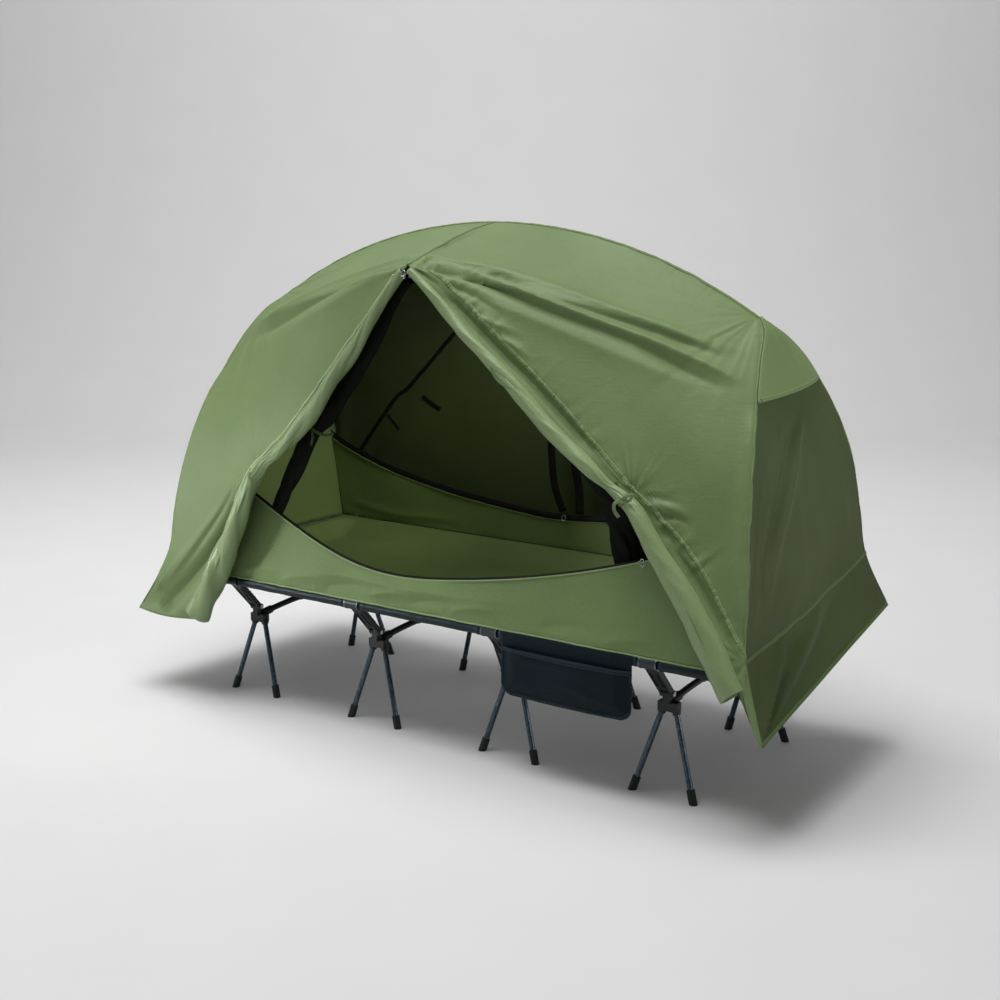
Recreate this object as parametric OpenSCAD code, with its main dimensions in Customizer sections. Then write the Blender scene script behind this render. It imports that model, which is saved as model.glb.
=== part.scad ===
// One-person camp cot with a raised tent: aluminium rails on four cross-braced leg sets,
// an inner tent on the bed and a rainfly over one ridge pole and four corner poles.
// X runs along the bed, -Y is the door side, Z is up, and the feet stand on Z = 0.

/* [Bed] */
// Length of each side rail
cot_length = 1900; // [1850:10:1940]
// Distance between the two side rails' centrelines
cot_width = 748; // [730:2:760]
// Height of the side rails' centrelines
rail_height = 397; // [385:1:410]
// Outer diameter of the side rails
rail_d = 25; // [22:1:26]
// Outer diameter of the cloth sleeve round a rail
sleeve_d = 31; // [29:1:32]

/* [Leg sets] */
// Distance between neighbouring leg sets along the bed
leg_pitch = 505; // [480:5:520]
// Distance from a rail down to the lever's pin
pin_drop = 109; // [105:1:115]
// Distance from a rail in to the lever's pin
pin_inset = 100; // [96:1:106]
// Outer diameter of a leg tube
leg_d = 16; // [14:1:17]
// Distance between the two feet of one leg pair
foot_spread = 187; // [170:1:200]
// How far a foot stands outside its leg socket
foot_out = 28; // [20:1:36]
// Diameter of the bowed crossbars
crossbar_d = 19; // [16:1:20]
// How far a crossbar bows up at its middle
crossbar_bow = 18; // [10:1:24]

/* [Tent frame] */
// Height of the rainfly at the middle of the ridge
ridge_height = 1516; // [1480:2:1540]
// Distance from the middle to a ridge end, where the corner poles meet it
ridge_reach = 856; // [830:2:870]
// Height of the rainfly at a ridge end
shoulder_height = 1271; // [1250:1:1290]
// Distance from the ridge out to the tip of the short cross pole
brow_reach = 410; // [400:2:420]
// Height of the rainfly over a cross pole's tip
brow_height = 1404; // [1390:2:1420]
// Diameter of the tent poles
pole_d = 9; // [8:0.5:10]

/* [Rainfly] */
// Half length over the lower front corners
hem_reach = 1117; // [1090:1:1130]
// Half width over the lower corners
hem_out = 455; // [445:1:465]
// Height of the lower front corners
hem_front = 268; // [240:2:290]
// Height of the lower back corners
hem_back = 419; // [400:1:430]
// Thickness of the cloth solids
cloth = 2; // [1.5:0.5:3]

/* [Hidden] */
$fn = 48;
arc_fn = 480;
fit = 0.05;
seam_gap = 0.8;
bevel = 1.6;

half_l = cot_length / 2;
half_w = cot_width / 2;
leg_x = [for (i = [-1.5:1:1.5]) i * leg_pitch];

// Rails and clamps
rail_wall = 1.5;
clamp_d = 34;
clamp_l = 44;
ring_l = 5;
ring_d = 36;
cap_l = 60;
plug_l = 38;
end_bar_d = 20;
end_bar_x = half_l + 20;
pole_foot_x = half_l + 42;
pole_foot_y = half_w - 10;

// Hubs, levers and legs, measured on the front side (-Y)
pin_y = -half_w + pin_inset;
pin_z = rail_height - pin_drop;
pin_d = 8;
pin_head_d = 13;
lug_w = 19.6;
lug_d = 21;
lever_w = 38;
lever_t = 16;
lever_angle = atan2(pin_drop, pin_inset);
lever_span = norm([pin_inset, pin_drop]);
lever_end_r = lever_span - clamp_d / 2 - 5;
lever_gap = 0.6;
hub_w = 58;
hub_depth = 26;
hub_y = pin_y + 12;
hub_z = 236;
hub_h = 26;
mouth_z = 228;
mouth_x = 23.5;
socket_depth = 30;
socket_end_gap = 0.3;
leg_mouth = [mouth_x, hub_y, mouth_z];
collar_d = 23;
collar_l = 20;
foot_d = 23;
foot_h = 40;
foot_floor = 7;
leg_run = [foot_spread / 2 - mouth_x, -foot_out, -mouth_z];
leg_dir = leg_run / norm(leg_run);
leg_l = norm(leg_run) + socket_depth - socket_end_gap - foot_floor;
bar_end = -hub_y - hub_depth / 2 - 3;
bar_z = hub_z + 23;
bar_r = arc_radius(bar_end, crossbar_bow);
bar_socket = 36;
bar_tilt = asin((bar_end - bar_socket / 2) / bar_r);
bar_dir = [0, cos(bar_tilt), sin(bar_tilt)];
bar_seat = [0, -bar_end, bar_z];

// Tent frame: the poles run this far inside the cloth
pole_inset = 18;
ridge_end = ridge_reach - 14;
ridge_r = arc_radius(ridge_reach, ridge_height - shoulder_height);
shoulder = [ridge_reach, shoulder_height];
seam_x = half_l + 57;
seam_foot_z = 450;
pole_sides = 12;
pole_steps = 16;
saddle_w = 24;

// Rainfly
door_mid = [702, 400, 848];
door_foot_right = [1050, 430, 400];
door_foot_left = [890, 430, 265];
roll_d = [22, 44];
roll_gap = [6, 16];
fly_cols = 3;
end_cols = 2;
seam_stops = [0, 0.04, 0.12, 0.27, 0.48, 0.73, 1];
last_row = len(seam_stops);
brow_curve = 1.35;
back_hem_inset = 34;
end_bulge = 12;
mesh_roll_d = [26, 40];
mesh_roll_path = [[20, -345, 1330], [300, -345, 1060], [560, -345, 790], [640, -345, 690]];

function arc_radius(reach, rise) = (reach * reach + rise * rise) / (2 * rise);
function lerp(a, b, t) = a + (b - a) * t;
function unit(v) = v / norm(v);
// Turns a vector along +Z to the direction v
function aim(v) = [0, acos(v[2] / norm(v)), atan2(v[1], v[0])];

// --- Curves that the tent's cloth and poles share ---

// Height of the ridge above a place along it
function ridge_z(x) = ridge_height - ridge_r + sqrt(ridge_r * ridge_r - x * x);

// Height of the brow over the cross pole, y away from the ridge
function brow_z(y) = ridge_height - (ridge_height - brow_height) * pow(abs(y) / brow_reach, brow_curve);

// The corner seam from the ridge end (s = 0) down to the rail's end (s = 1), front right
function corner_seam(s) = [
    lerp(shoulder[0], seam_x, sqrt(sin(90 * s))),
    -half_w * pow(sin(90 * s), 0.78),
    lerp(shoulder[1], seam_foot_z, s)];

// Point k of a corner pole, which lies inside its seam and ends in the corner cap
function corner_pole(k) = let (s = pow(k / pole_steps, 1.5)) [
    lerp(ridge_end - 3, pole_foot_x, sqrt(sin(90 * s))),
    -pole_foot_y * pow(sin(90 * s), 0.78),
    lerp(shoulder[1] - pole_inset - 4, rail_height + 8, s)];

// --- Shared shapes ---

// A round bar from p to q
module bar(p, q, d) {
    translate(p) rotate(aim(q - p)) cylinder(d = d, h = norm(q - p));
}

// A tube swept through points, d[0] wide at its start and d[1] at its end
module swept(points, d, sides) {
    last = len(points) - 1;
    function ahead(i) = unit(points[min(i + 1, last)] - points[max(i - 1, 0)]);
    function across(i) = unit(cross(ahead(i), [0.3, 1, 0.2]));
    rings = [for (i = [0:last], k = [0:sides - 1])
        let (u = across(i), v = cross(ahead(i), u), a = 360 * k / sides, r = lerp(d[0], d[1], i / last) / 2)
        points[i] + r * (u * cos(a) + v * sin(a))];
    sides_faces = [for (i = [0:last - 1], k = [0:sides - 1])
        let (a = i * sides + k, b = i * sides + (k + 1) % sides) [a, b, b + sides, a + sides]];
    polyhedron(rings, concat(sides_faces,
        [[for (k = [sides - 1:-1:0]) k], [for (k = [0:sides - 1]) last * sides + k]]));
}

// One flat piece of cloth between three or four corners, with a seam's gap round it.
// Its edges are bevelled, so that it clears the next piece where they meet at an angle.
module cloth_panel(corners, t = cloth) {
    n = len(corners);
    middle = [for (k = [0:2]) [for (c = corners) 1] * [for (c = corners) c[k]] / n];
    outer = [for (c = corners) c - unit(c - middle) * seam_gap];
    out = unit(n == 3 ? cross(corners[1] - corners[0], corners[2] - corners[0])
                      : cross(corners[2] - corners[0], corners[3] - corners[1])) * t;
    inner = [for (c = outer) c - unit(c - middle) * bevel * t - out];
    faces = [for (k = [1:n - 2]) [0, k, k + 1]];
    polyhedron(concat(outer, inner), concat(
        [for (f = faces) [f[2], f[1], f[0]]],
        [for (f = faces) [f[0] + n, f[1] + n, f[2] + n]],
        [for (k = [0:n - 1]) [k, (k + 1) % n, (k + 1) % n + n]],
        [for (k = [0:n - 1]) [k, (k + 1) % n + n, k + n]]));
}

// A grid of cloth panels from rows of points
module cloth_grid(rows) {
    for (j = [0:len(rows) - 2], i = [0:len(rows[j]) - 2]) {
        a = rows[j][i];
        b = rows[j][i + 1];
        c = rows[j + 1][i + 1];
        d = rows[j + 1][i];
        if (norm(a - b) < 1) cloth_panel([a, c, d]);
        else cloth_panel([a, b, c, d]);
    }
}

// Copies its child to the front and the back
module both_sides() {
    children();
    mirror([0, 1, 0]) children();
}

// Copies its child to both ends
module both_ends() {
    children();
    mirror([1, 0, 0]) children();
}

// --- Bed ---

module rail() {
    translate([-half_l, -half_w, rail_height]) rotate([0, 90, 0]) difference() {
        cylinder(d = rail_d, h = cot_length);
        translate([0, 0, -1]) cylinder(d = rail_d - 2 * rail_wall, h = cot_length + 2);
    }
}

module front_rail() {
    color("dimgray") rail();
}

module back_rail() {
    color("dimgray") mirror([0, 1, 0]) rail();
}

module end_bars() {
    color("dimgray") both_ends()
        bar([end_bar_x, -half_w + 16, rail_height], [end_bar_x, half_w - 16, rail_height], end_bar_d);
}

// Moulded corner: a plug in the rail, a socket for the end bar and a cup for the corner pole
module corner_cap() {
    difference() {
        union() {
            translate([half_l + 0.3, -half_w, rail_height]) rotate([0, 90, 0])
                cylinder(d = clamp_d - 2, h = cap_l);
            translate([half_l - plug_l, -half_w, rail_height]) rotate([0, 90, 0])
                cylinder(d = rail_d - 2 * rail_wall - 2 * fit, h = plug_l + 6);
            bar([end_bar_x, -half_w + 4, rail_height], [end_bar_x, -half_w + 44, rail_height], end_bar_d + 8);
            translate([pole_foot_x, -pole_foot_y, rail_height - 7]) cylinder(d = pole_d + 10, h = 37);
        }
        bar([end_bar_x, -half_w + 15.5, rail_height], [end_bar_x, -half_w + 60, rail_height],
            end_bar_d + 2 * fit);
        translate([pole_foot_x, -pole_foot_y, rail_height + 6]) cylinder(d = pole_d + 3, h = 40);
    }
}

module corner_caps() {
    color("black") both_ends() both_sides() corner_cap();
}

// A rail clamp with the curved lug that the lever's end bears against
module rail_clamp() {
    difference() {
        union() {
            translate([-clamp_l / 2, -half_w, rail_height]) rotate([0, 90, 0])
                cylinder(d = clamp_d, h = clamp_l);
            translate([-lever_w / 2, pin_y, pin_z]) rotate([180 - lever_angle, 0, 0])
                translate([0, lever_end_r + 1, -9]) cube([lever_w, 12, 18]);
        }
        translate([-clamp_l, -half_w, rail_height]) rotate([0, 90, 0])
            cylinder(d = rail_d + 2 * fit, h = 2 * clamp_l);
        translate([-clamp_l, pin_y, pin_z]) rotate([0, 90, 0])
            cylinder(r = lever_end_r + lever_gap, h = 2 * clamp_l);
    }
}

module rail_clamps() {
    color("darkslategray") both_sides() for (x = leg_x) translate([x, 0, 0]) rail_clamp();
}

module clamp_ring() {
    translate([0, -half_w, rail_height]) rotate([0, 90, 0]) difference() {
        cylinder(d = ring_d, h = ring_l, center = true);
        cylinder(d = rail_d + 2 * fit, h = 2 * ring_l, center = true);
    }
}

module clamp_rings() {
    color("silver") both_sides() for (x = leg_x, side = [-1, 1])
        translate([x + side * (clamp_l + ring_l + 0.4) / 2, 0, 0]) clamp_ring();
}

// --- Leg sets ---

// A crossbar is an arc that rises by crossbar_bow between its two hubs
module crossbar() {
    sweep = 2 * asin(bar_end / bar_r);
    translate([0, 0, bar_z + crossbar_bow - bar_r]) rotate([90, 0, 90])
        rotate([0, 0, 90 - sweep / 2]) rotate_extrude(angle = sweep, $fn = arc_fn)
            translate([bar_r, 0]) circle(d = crossbar_d);
}

module crossbars() {
    color("black") for (x = leg_x) translate([x, 0, 0]) crossbar();
}

// The sleeve that joins a crossbar's two halves, just off its middle
module crossbar_ferrules() {
    ferrule_y = -48;
    ferrule_z = bar_z + crossbar_bow - ferrule_y * ferrule_y / (2 * bar_r);
    color("black") for (x = leg_x) translate([x, ferrule_y, ferrule_z]) rotate([90, 0, 0]) difference() {
        cylinder(d = crossbar_d + 6, h = 44, center = true);
        cylinder(d = crossbar_d + 2.8, h = 60, center = true);
    }
}

// Moulded hub: two splayed leg sockets, a crossbar socket and the lug for the lever's pin
module leg_hub() {
    difference() {
        union() {
            translate([-hub_w / 2, hub_y - hub_depth / 2, hub_z]) cube([hub_w, hub_depth, hub_h]);
            translate([-lug_w / 2, pin_y - 9, hub_z + hub_h - 4])
                cube([lug_w, 18, pin_z - hub_z - hub_h + 6]);
            translate([-lug_w / 2, pin_y, pin_z]) rotate([0, 90, 0]) cylinder(d = lug_d, h = lug_w);
            bar(bar_seat + bar_socket * bar_dir, bar_seat - 6 * bar_dir, crossbar_d + 7);
            for (side = [0, 1]) mirror([side, 0, 0])
                bar(leg_mouth - collar_l * leg_dir, leg_mouth, collar_d);
        }
        for (side = [0, 1]) mirror([side, 0, 0])
            bar(leg_mouth - socket_depth * leg_dir, leg_mouth + 12 * leg_dir, leg_d + 2 * fit);
        bar(bar_seat + 2 * bar_socket * bar_dir, bar_seat - 0.5 * bar_dir, crossbar_d + 1.6);
        translate([-hub_w, pin_y, pin_z]) rotate([0, 90, 0]) cylinder(d = pin_d + 2 * fit, h = 2 * hub_w);
    }
}

module leg_hubs() {
    color("black") both_sides() for (x = leg_x) translate([x, 0, 0]) leg_hub();
}

// A headed pin through the lug and both cheeks of the lever
module hub_pin() {
    translate([0, pin_y, pin_z]) rotate([0, 90, 0]) {
        cylinder(d = pin_d, h = lever_w + 3, center = true);
        for (side = [-1, 1]) translate([0, 0, side * (lever_w / 2 + 2)])
            cylinder(d = pin_head_d, h = 2.4, center = true);
    }
}

module hub_pins() {
    color("silver") both_sides() for (x = leg_x) translate([x, 0, 0]) hub_pin();
}

// A tension lever: a forked foot on the pin, a ribbed arm and a round end under the clamp
module lever() {
    cheek = (lever_w - lug_w) / 2 - 0.5;
    translate([0, pin_y, pin_z]) rotate([180 - lever_angle, 0, 0]) difference() {
        union() {
            intersection() {
                translate([-lever_w / 2, 0, -lever_t / 2]) cube([lever_w, lever_end_r + 5, lever_t]);
                translate([-lever_w, 0, 0]) rotate([0, 90, 0]) cylinder(r = lever_end_r, h = 2 * lever_w);
            }
            translate([-lever_w / 2, 0, 0]) rotate([0, 90, 0]) cylinder(d = 22, h = lever_w);
            for (k = [0:4]) translate([-lever_w / 2 + 3, 40 + k * 14, -lever_t / 2 - 3])
                cube([lever_w - 6, 7, 5]);
        }
        translate([-lever_w / 2 + cheek, -20, -20]) cube([lug_w + 1, 46, 40]);
        translate([-lever_w, 0, 0]) rotate([0, 90, 0]) cylinder(d = pin_d + 2 * fit, h = 2 * lever_w);
        for (side = [-1, 1]) translate([side * 10, 44, lever_t / 2 - 3]) translate([-5, 0, 0])
            cube([10, lever_end_r - 62, 6]);
    }
}

// Levers 1 to 4 are on the front side from left to right, and 5 to 8 on the back side
module lever_at(i) {
    color([0.1, 0.11, 0.12]) translate([leg_x[i % 4], 0, 0]) mirror([0, i < 4 ? 0 : 1, 0]) lever();
}

// Legs 1 to 8 are on the front side from left to right, and 9 to 16 on the back side
module place_leg(i) {
    translate([leg_x[floor(i / 2) % 4], 0, 0]) mirror([0, i < 8 ? 0 : 1, 0])
        mirror([1 - i % 2, 0, 0]) translate(leg_mouth) children();
}

module leg_at(i) {
    color("slategray") place_leg(i) translate((socket_end_gap - socket_depth) * leg_dir) rotate(aim(leg_dir))
        cylinder(d = leg_d, h = leg_l);
}

module foot_at(i) {
    color("black") place_leg(i) difference() {
        bar(leg_run - foot_h * leg_dir, leg_run + 12 * leg_dir, foot_d);
        bar(leg_run - 2 * foot_h * leg_dir, leg_run - (foot_floor - 0.1) * leg_dir, leg_d + 2 * fit);
        translate([leg_run[0] - foot_d, leg_run[1] - foot_d, leg_run[2] - 2 * foot_d])
            cube([2 * foot_d, 2 * foot_d, 2 * foot_d]);
    }
}

// --- Cloth of the bed ---

// The bed cloth, and its sleeves round the rails between the clamps
module cot_sheet() {
    clear = clamp_l / 2 + ring_l + 3;
    stops = concat([-half_l + 4], [for (x = leg_x, side = [-1, 1]) x + side * clear], [half_l - 4]);
    color("darkolivegreen") {
        translate([-half_l + 4, -half_w + 20, rail_height - cloth / 2])
            cube([cot_length - 8, cot_width - 40, cloth]);
        both_sides() for (k = [0:2:len(stops) - 1]) translate([stops[k], -half_w, rail_height])
            rotate([0, 90, 0]) difference() {
                cylinder(d = sleeve_d, h = stops[k + 1] - stops[k]);
                translate([0, 0, -1]) cylinder(d = rail_d + 4 * fit, h = cot_length);
            }
    }
}

// A hanging pocket, open at the top, on the front rail between the third and fourth leg sets
module side_pocket() {
    pocket_x = [302, 715];
    pocket_z = [229, 408];
    mouth = 370;
    skin = 3;
    depth = 14;
    front = -half_w - sleeve_d / 2 - 1.5;
    module outline(inset, top) {
        round_r = 34 - inset;
        low = [pocket_x[0] + inset, pocket_z[0] + inset];
        high = [pocket_x[1] - inset, top];
        for (x = [low[0] + round_r, high[0] - round_r]) translate([x, low[1] + round_r])
            circle(r = round_r);
        translate([low[0] + round_r, low[1]]) square([high[0] - low[0] - 2 * round_r, top - low[1]]);
        translate([low[0], low[1] + round_r]) square([high[0] - low[0], top - low[1] - round_r]);
    }
    color("midnightblue") translate([0, front, 0]) rotate([90, 0, 0]) {
        linear_extrude(skin) outline(0, pocket_z[1]);
        difference() {
            translate([0, 0, skin]) linear_extrude(depth - skin) outline(0, mouth);
            translate([0, 0, skin - 1]) linear_extrude(depth - 2 * skin + 1) outline(skin, mouth + 20);
        }
    }
}

// --- Tent frame ---

// The ridge pole is an arc inside the ridge of the rainfly
module ridge_pole() {
    r = ridge_r - pole_inset;
    reach = asin((ridge_end - 10) / r);
    color("silver") translate([0, 0, ridge_height - pole_inset - r]) rotate([90, 0, 0])
        rotate([0, 0, 90 - reach]) rotate_extrude(angle = 2 * reach, $fn = arc_fn)
            translate([r, 0]) circle(d = pole_d);
}

// The short cross pole lies under the ridge pole and holds the brow over the door
module cross_pole() {
    steps = 8;
    tip = brow_reach - 6;
    color("silver") swept([for (k = [-steps:steps]) let (y = tip * k / steps)
        [0, y, brow_z(y) - 2 * pole_inset]], [pole_d, pole_d], pole_sides);
}

module corner_poles() {
    color("silver") both_ends() both_sides()
        swept([for (k = [1:pole_steps]) corner_pole(k)], [pole_d, pole_d], pole_sides);
}

// Moulded hubs: a three-way hub at each ridge end and a saddle where the cross pole passes
module pole_hubs() {
    r = ridge_r - pole_inset;
    reach = asin(ridge_end / r);
    hub = [ridge_end, 0, ridge_height - pole_inset - r + r * cos(reach)];
    start = corner_pole(1);
    next = corner_pole(2);
    color("black") {
        both_ends() difference() {
            union() {
                translate(hub) rotate([90, 0, 0]) cylinder(d = 21, h = 24, center = true);
                both_sides() bar(lerp(start, next, 0.5), lerp(hub, start, 0.2), pole_d + 7);
            }
            translate(hub) rotate([0, reach - 90, 0]) translate([0, 0, 7]) cylinder(d = pole_d + 1, h = 40);
            both_sides() bar(next, start - (next - start) * 0.1, pole_d + 1);
        }
        translate([0, 0, ridge_height - 1.5 * pole_inset]) difference() {
            translate([0, 0, -3]) cube([saddle_w, saddle_w, pole_inset + 18], center = true);
            translate([0, 0, pole_inset / 2]) rotate([0, 90, 0])
                cylinder(d = pole_d + 1, h = 3 * saddle_w, center = true);
            translate([0, 0, -pole_inset / 2]) rotate([90, 0, 0])
                cylinder(d = pole_d + 4, h = 3 * saddle_w, center = true);
        }
    }
}

// --- Tent cloth ---

// A tub with a low front wall, a higher back wall and end walls that rise to the ridge ends.
// The long walls lean in towards the ends, inside the corner poles.
module inner_tent() {
    floor_z = rail_height + sleeve_d / 2 + 4;
    wall_y = half_w - 12;
    end_x = half_l - 10;
    lean = 76;
    cols = 6;
    front_rim = [512, 240];
    back_rim = [560, 230];
    peak = [end_x - 32, 118, 1020];
    xs = [for (i = [0:cols]) lerp(-end_x, end_x, i / cols)];
    function foot(x, side) = [x, side * (wall_y + 1), floor_z];
    function rim(x, side) = let (r = side < 0 ? front_rim : back_rim)
        [x * 0.99, side * (wall_y - lean * pow(x / end_x, 2)), r[0] + r[1] * x * x / 1e6];
    color("olivedrab") {
        cloth_panel([[-end_x, -wall_y, floor_z], [end_x, -wall_y, floor_z],
                     [end_x, wall_y, floor_z], [-end_x, wall_y, floor_z]]);
        for (side = [-1, 1], i = [0:cols - 1]) {
            a = side < 0 ? xs[i] : xs[i + 1];
            b = side < 0 ? xs[i + 1] : xs[i];
            cloth_panel([foot(a, side), foot(b, side), rim(b, side), rim(a, side)]);
        }
        both_ends() cloth_panel([
            [end_x + 4, -wall_y + 3, floor_z], [end_x + 4, wall_y - 3, floor_z],
            peak, [peak[0], -peak[1], peak[2]]]);
    }
}

// Front or back wall: from the ridge over the brow and down, between an inner edge and the seam.
// side is -1 at the front and 1 at the back; end is -1 on the left and 1 on the right.
function seam_point(j, side) =
    j < last_row ? let (p = corner_seam(seam_stops[j])) [p[0], abs(p[1]), p[2]]
    : side < 0 ? [hem_reach, hem_out, hem_front]
    : [hem_reach - back_hem_inset, hem_out, hem_back];

// The inner edge down the middle, where front and back share the ridge and the brow
function brow_point(j) = let (y = j * brow_reach / 2) [0, y, brow_z(y)];

function door_point(j, end) = let (foot = end < 0 ? door_foot_left : door_foot_right)
    j < 3 ? brow_point(j)
    : j < 6 ? lerp(brow_point(2), door_mid, (j - 2) / 3)
    : lerp(door_mid, foot, (j - 5) / (last_row - 5));

function back_point(j) =
    j < 3 ? brow_point(j)
    : let (t = (j - 2) / (last_row - 2)) [0, lerp(brow_reach, hem_out, t), lerp(brow_height, hem_back, t)];

function wall_point(i, j, side, end) = let (
    t = i / fly_cols,
    inner = side < 0 ? door_point(j, end) : back_point(j),
    arch = ridge_z(t * ridge_reach) - lerp(ridge_height, shoulder_height, t),
    p = lerp(inner, seam_point(j, side), t))
    [end * p[0], side * p[1], p[2] + arch * pow(1 - j / last_row, 2)];

// End wall between the two corner seams, down to the hem
function end_point(i, j, end) = let (
    t = i / end_cols,
    front = seam_point(j, -1),
    back = seam_point(j, 1),
    bulge = j == 0 ? 0 : end_bulge * sin(180 * t))
    [end * (lerp(front[0], back[0], t) + bulge), lerp(-front[1], back[1], t), lerp(front[2], back[2], t)];

module fly_sheet() {
    color("darkolivegreen") {
        for (end = [-1, 1], side = [-1, 1])
            cloth_grid([for (j = [0:last_row]) [for (i = [0:fly_cols])
                wall_point(end * side < 0 ? fly_cols - i : i, j, side, end)]]);
        for (end = [-1, 1])
            cloth_grid([for (j = [0, 2, 3, 4, 5, 6, last_row]) [for (i = [0:end_cols])
                end_point(end < 0 ? end_cols - i : i, j, end)]]);
    }
}

// The door's two halves, rolled back along the edges of the opening
module door_rolls() {
    color("olivedrab") for (end = [-1, 1]) {
        edge = concat([lerp(door_point(2, end), door_point(3, end), 0.12)],
            [for (j = [3:last_row]) door_point(j, end)]);
        last = len(edge) - 1;
        path = [for (k = [0:last]) let (
            run = edge[min(k + 1, last)] - edge[max(k - 1, 0)],
            across = unit([run[2], 0, -run[0]]),
            p = edge[k] + across * (lerp(roll_d[0], roll_d[1], k / last) / 2
                + lerp(roll_gap[0], roll_gap[1], k / last)))
            [end * p[0], -p[1], p[2]]];
        swept(path, roll_d, pole_sides);
    }
}

// The inner door's mesh, rolled up inside the opening
module mesh_rolls() {
    color("black") for (end = [-1, 1])
        swept([for (p = mesh_roll_path) [end * p[0], p[1], p[2]]], mesh_roll_d, pole_sides);
}

// --- Assembly ---

front_rail();
back_rail();
end_bars();
corner_caps();
rail_clamps();
clamp_rings();
crossbars();
crossbar_ferrules();
leg_hubs();
hub_pins();
cot_sheet();
side_pocket();
ridge_pole();
cross_pole();
corner_poles();
pole_hubs();
inner_tent();
fly_sheet();
door_rolls();
mesh_rolls();
for (i = [0:7]) lever_at(i);
for (i = [0:15]) leg_at(i);
for (i = [0:15]) foot_at(i);
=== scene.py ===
import math

import bmesh
import bpy
import numpy as np
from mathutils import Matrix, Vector
from mathutils.bvhtree import BVHTree


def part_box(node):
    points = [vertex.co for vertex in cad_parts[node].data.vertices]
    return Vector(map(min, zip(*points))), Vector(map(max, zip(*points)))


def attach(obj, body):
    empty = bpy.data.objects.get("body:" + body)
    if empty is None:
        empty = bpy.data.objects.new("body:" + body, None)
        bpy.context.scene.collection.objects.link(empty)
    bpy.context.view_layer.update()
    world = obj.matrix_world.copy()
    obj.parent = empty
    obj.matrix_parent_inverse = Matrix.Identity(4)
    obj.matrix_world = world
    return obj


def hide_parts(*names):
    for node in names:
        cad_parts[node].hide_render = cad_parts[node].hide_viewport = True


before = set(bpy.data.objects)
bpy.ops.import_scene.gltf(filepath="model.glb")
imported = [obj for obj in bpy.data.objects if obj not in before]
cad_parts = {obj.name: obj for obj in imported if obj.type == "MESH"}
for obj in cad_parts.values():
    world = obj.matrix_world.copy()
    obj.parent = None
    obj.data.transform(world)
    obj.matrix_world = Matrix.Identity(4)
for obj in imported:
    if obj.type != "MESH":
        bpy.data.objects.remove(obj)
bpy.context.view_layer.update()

# A camp cot with a raised tent. Metres, X along the bed, -Y is the door side, Z up.

ROOT = "root"
# How thick the tent's cloth is, and the finer cloth of rolls, sleeves and pocket
CLOTH = 0.001
THIN_CLOTH = 0.0008
# Places that are this close are one place
WELD = 0.0004
# The rainfly's walls: rows and columns while they are tightened, and the finer ones that replace each
FLY_ROWS = 60
FLY_COLS = 32
END_COLS = 18
FINE = 3


# ---------------------------------------------------------------- sizes from the frame

def low(node):
    return np.array(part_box(node)[0])


def high(node):
    return np.array(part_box(node)[1])


RAIL_Y = (low("front_rail")[1] + high("front_rail")[1]) / 2
RAIL_Z = (low("front_rail")[2] + high("front_rail")[2]) / 2
RAIL_END = high("front_rail")[0]
HALF_W = -RAIL_Y
RIDGE_TOP = high("fly_sheet")[2]
HEM_X = high("fly_sheet")[0]
HEM_Y = high("fly_sheet")[1]
HEM_LOW = low("fly_sheet")[2]
FLOOR_Z = low("inner_tent")[2]
POCKET_LOW = low("side_pocket")
POCKET_HIGH = high("side_pocket")
SLEEVE_R = 0.0155
LEG_X = [(low(f"lever_{i}")[0] + high(f"lever_{i}")[0]) / 2 for i in range(1, 5)]

# The rainfly's corners and seams, in the shape that its poles hold it
RIDGE_X = 0.856
SHOULDER_Z = 1.271
SHOULDER = (RIDGE_X, 0, SHOULDER_Z)
BROW_TIP = np.array([0.0, -0.41, 1.404])
FRONT_SEAM = [
    SHOULDER, (0.893, -0.046, 1.236), (0.916, -0.11, 1.172), (0.934, -0.158, 1.107), (0.952, -0.2, 1.04),
    (0.972, -0.245, 0.97), (0.99, -0.29, 0.875), (1.004, -0.322, 0.785), (1.018, -0.35, 0.68),
    (1.026, -0.37, 0.58), (1.032, -0.388, 0.47), (1.065, -0.415, 0.375), (HEM_X, -HEM_Y, HEM_LOW),
]
BACK_SEAM = [
    SHOULDER, (0.897, 0.07, 1.226), (0.925, 0.14, 1.168), (0.943, 0.2, 1.105), (0.962, 0.262, 1.03),
    (0.978, 0.325, 0.94), (0.99, 0.375, 0.84), (1.003, 0.408, 0.7), (1.02, 0.428, 0.566),
    (1.083, 0.455, 0.419),
]
DOOR_RIGHT = [
    BROW_TIP, (0.086, -0.406, 1.324), (0.242, -0.403, 1.18), (0.467, -0.4, 1.0), (0.6, -0.399, 0.895),
    (0.7, -0.4, 0.832), (0.745, -0.404, 0.785), (0.8, -0.408, 0.7), (0.899, -0.418, 0.574),
    (1.046, -0.43, 0.4),
]
DOOR_LEFT = [
    BROW_TIP, (-0.1, -0.406, 1.31), (-0.25, -0.403, 1.145), (-0.459, -0.4, 0.91),
    (-0.62, -0.4, 0.775), (-0.7, -0.408, 0.6), (-0.79, -0.42, 0.38), (-0.872, -0.43, 0.26),
]
# How high the skirt's seam meets the front and the back corner seam
SKIRT_FRONT_Z = 0.452
SKIRT_BACK_Z = 0.566
# The share of each wall's height at which the door's edge leaves the brow, and of the corner seam's length
BROW_SHARE = 0.2
SEAM_SHARE = 0.13
# How many places a seam is measured in
SEAM_PLACES = 600


# ---------------------------------------------------------------- curves and grids

def vec(p):
    return np.array(p, float)


def unit(v):
    return v / np.maximum(np.linalg.norm(v, axis=-1, keepdims=True), 1e-9)


def mirrored(places, end):
    """Places on the right half, or their mirror images on the left half when end is -1."""
    return vec(places) * (end, 1, 1)


def side_name(end):
    return "right" if end > 0 else "left"


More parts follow.
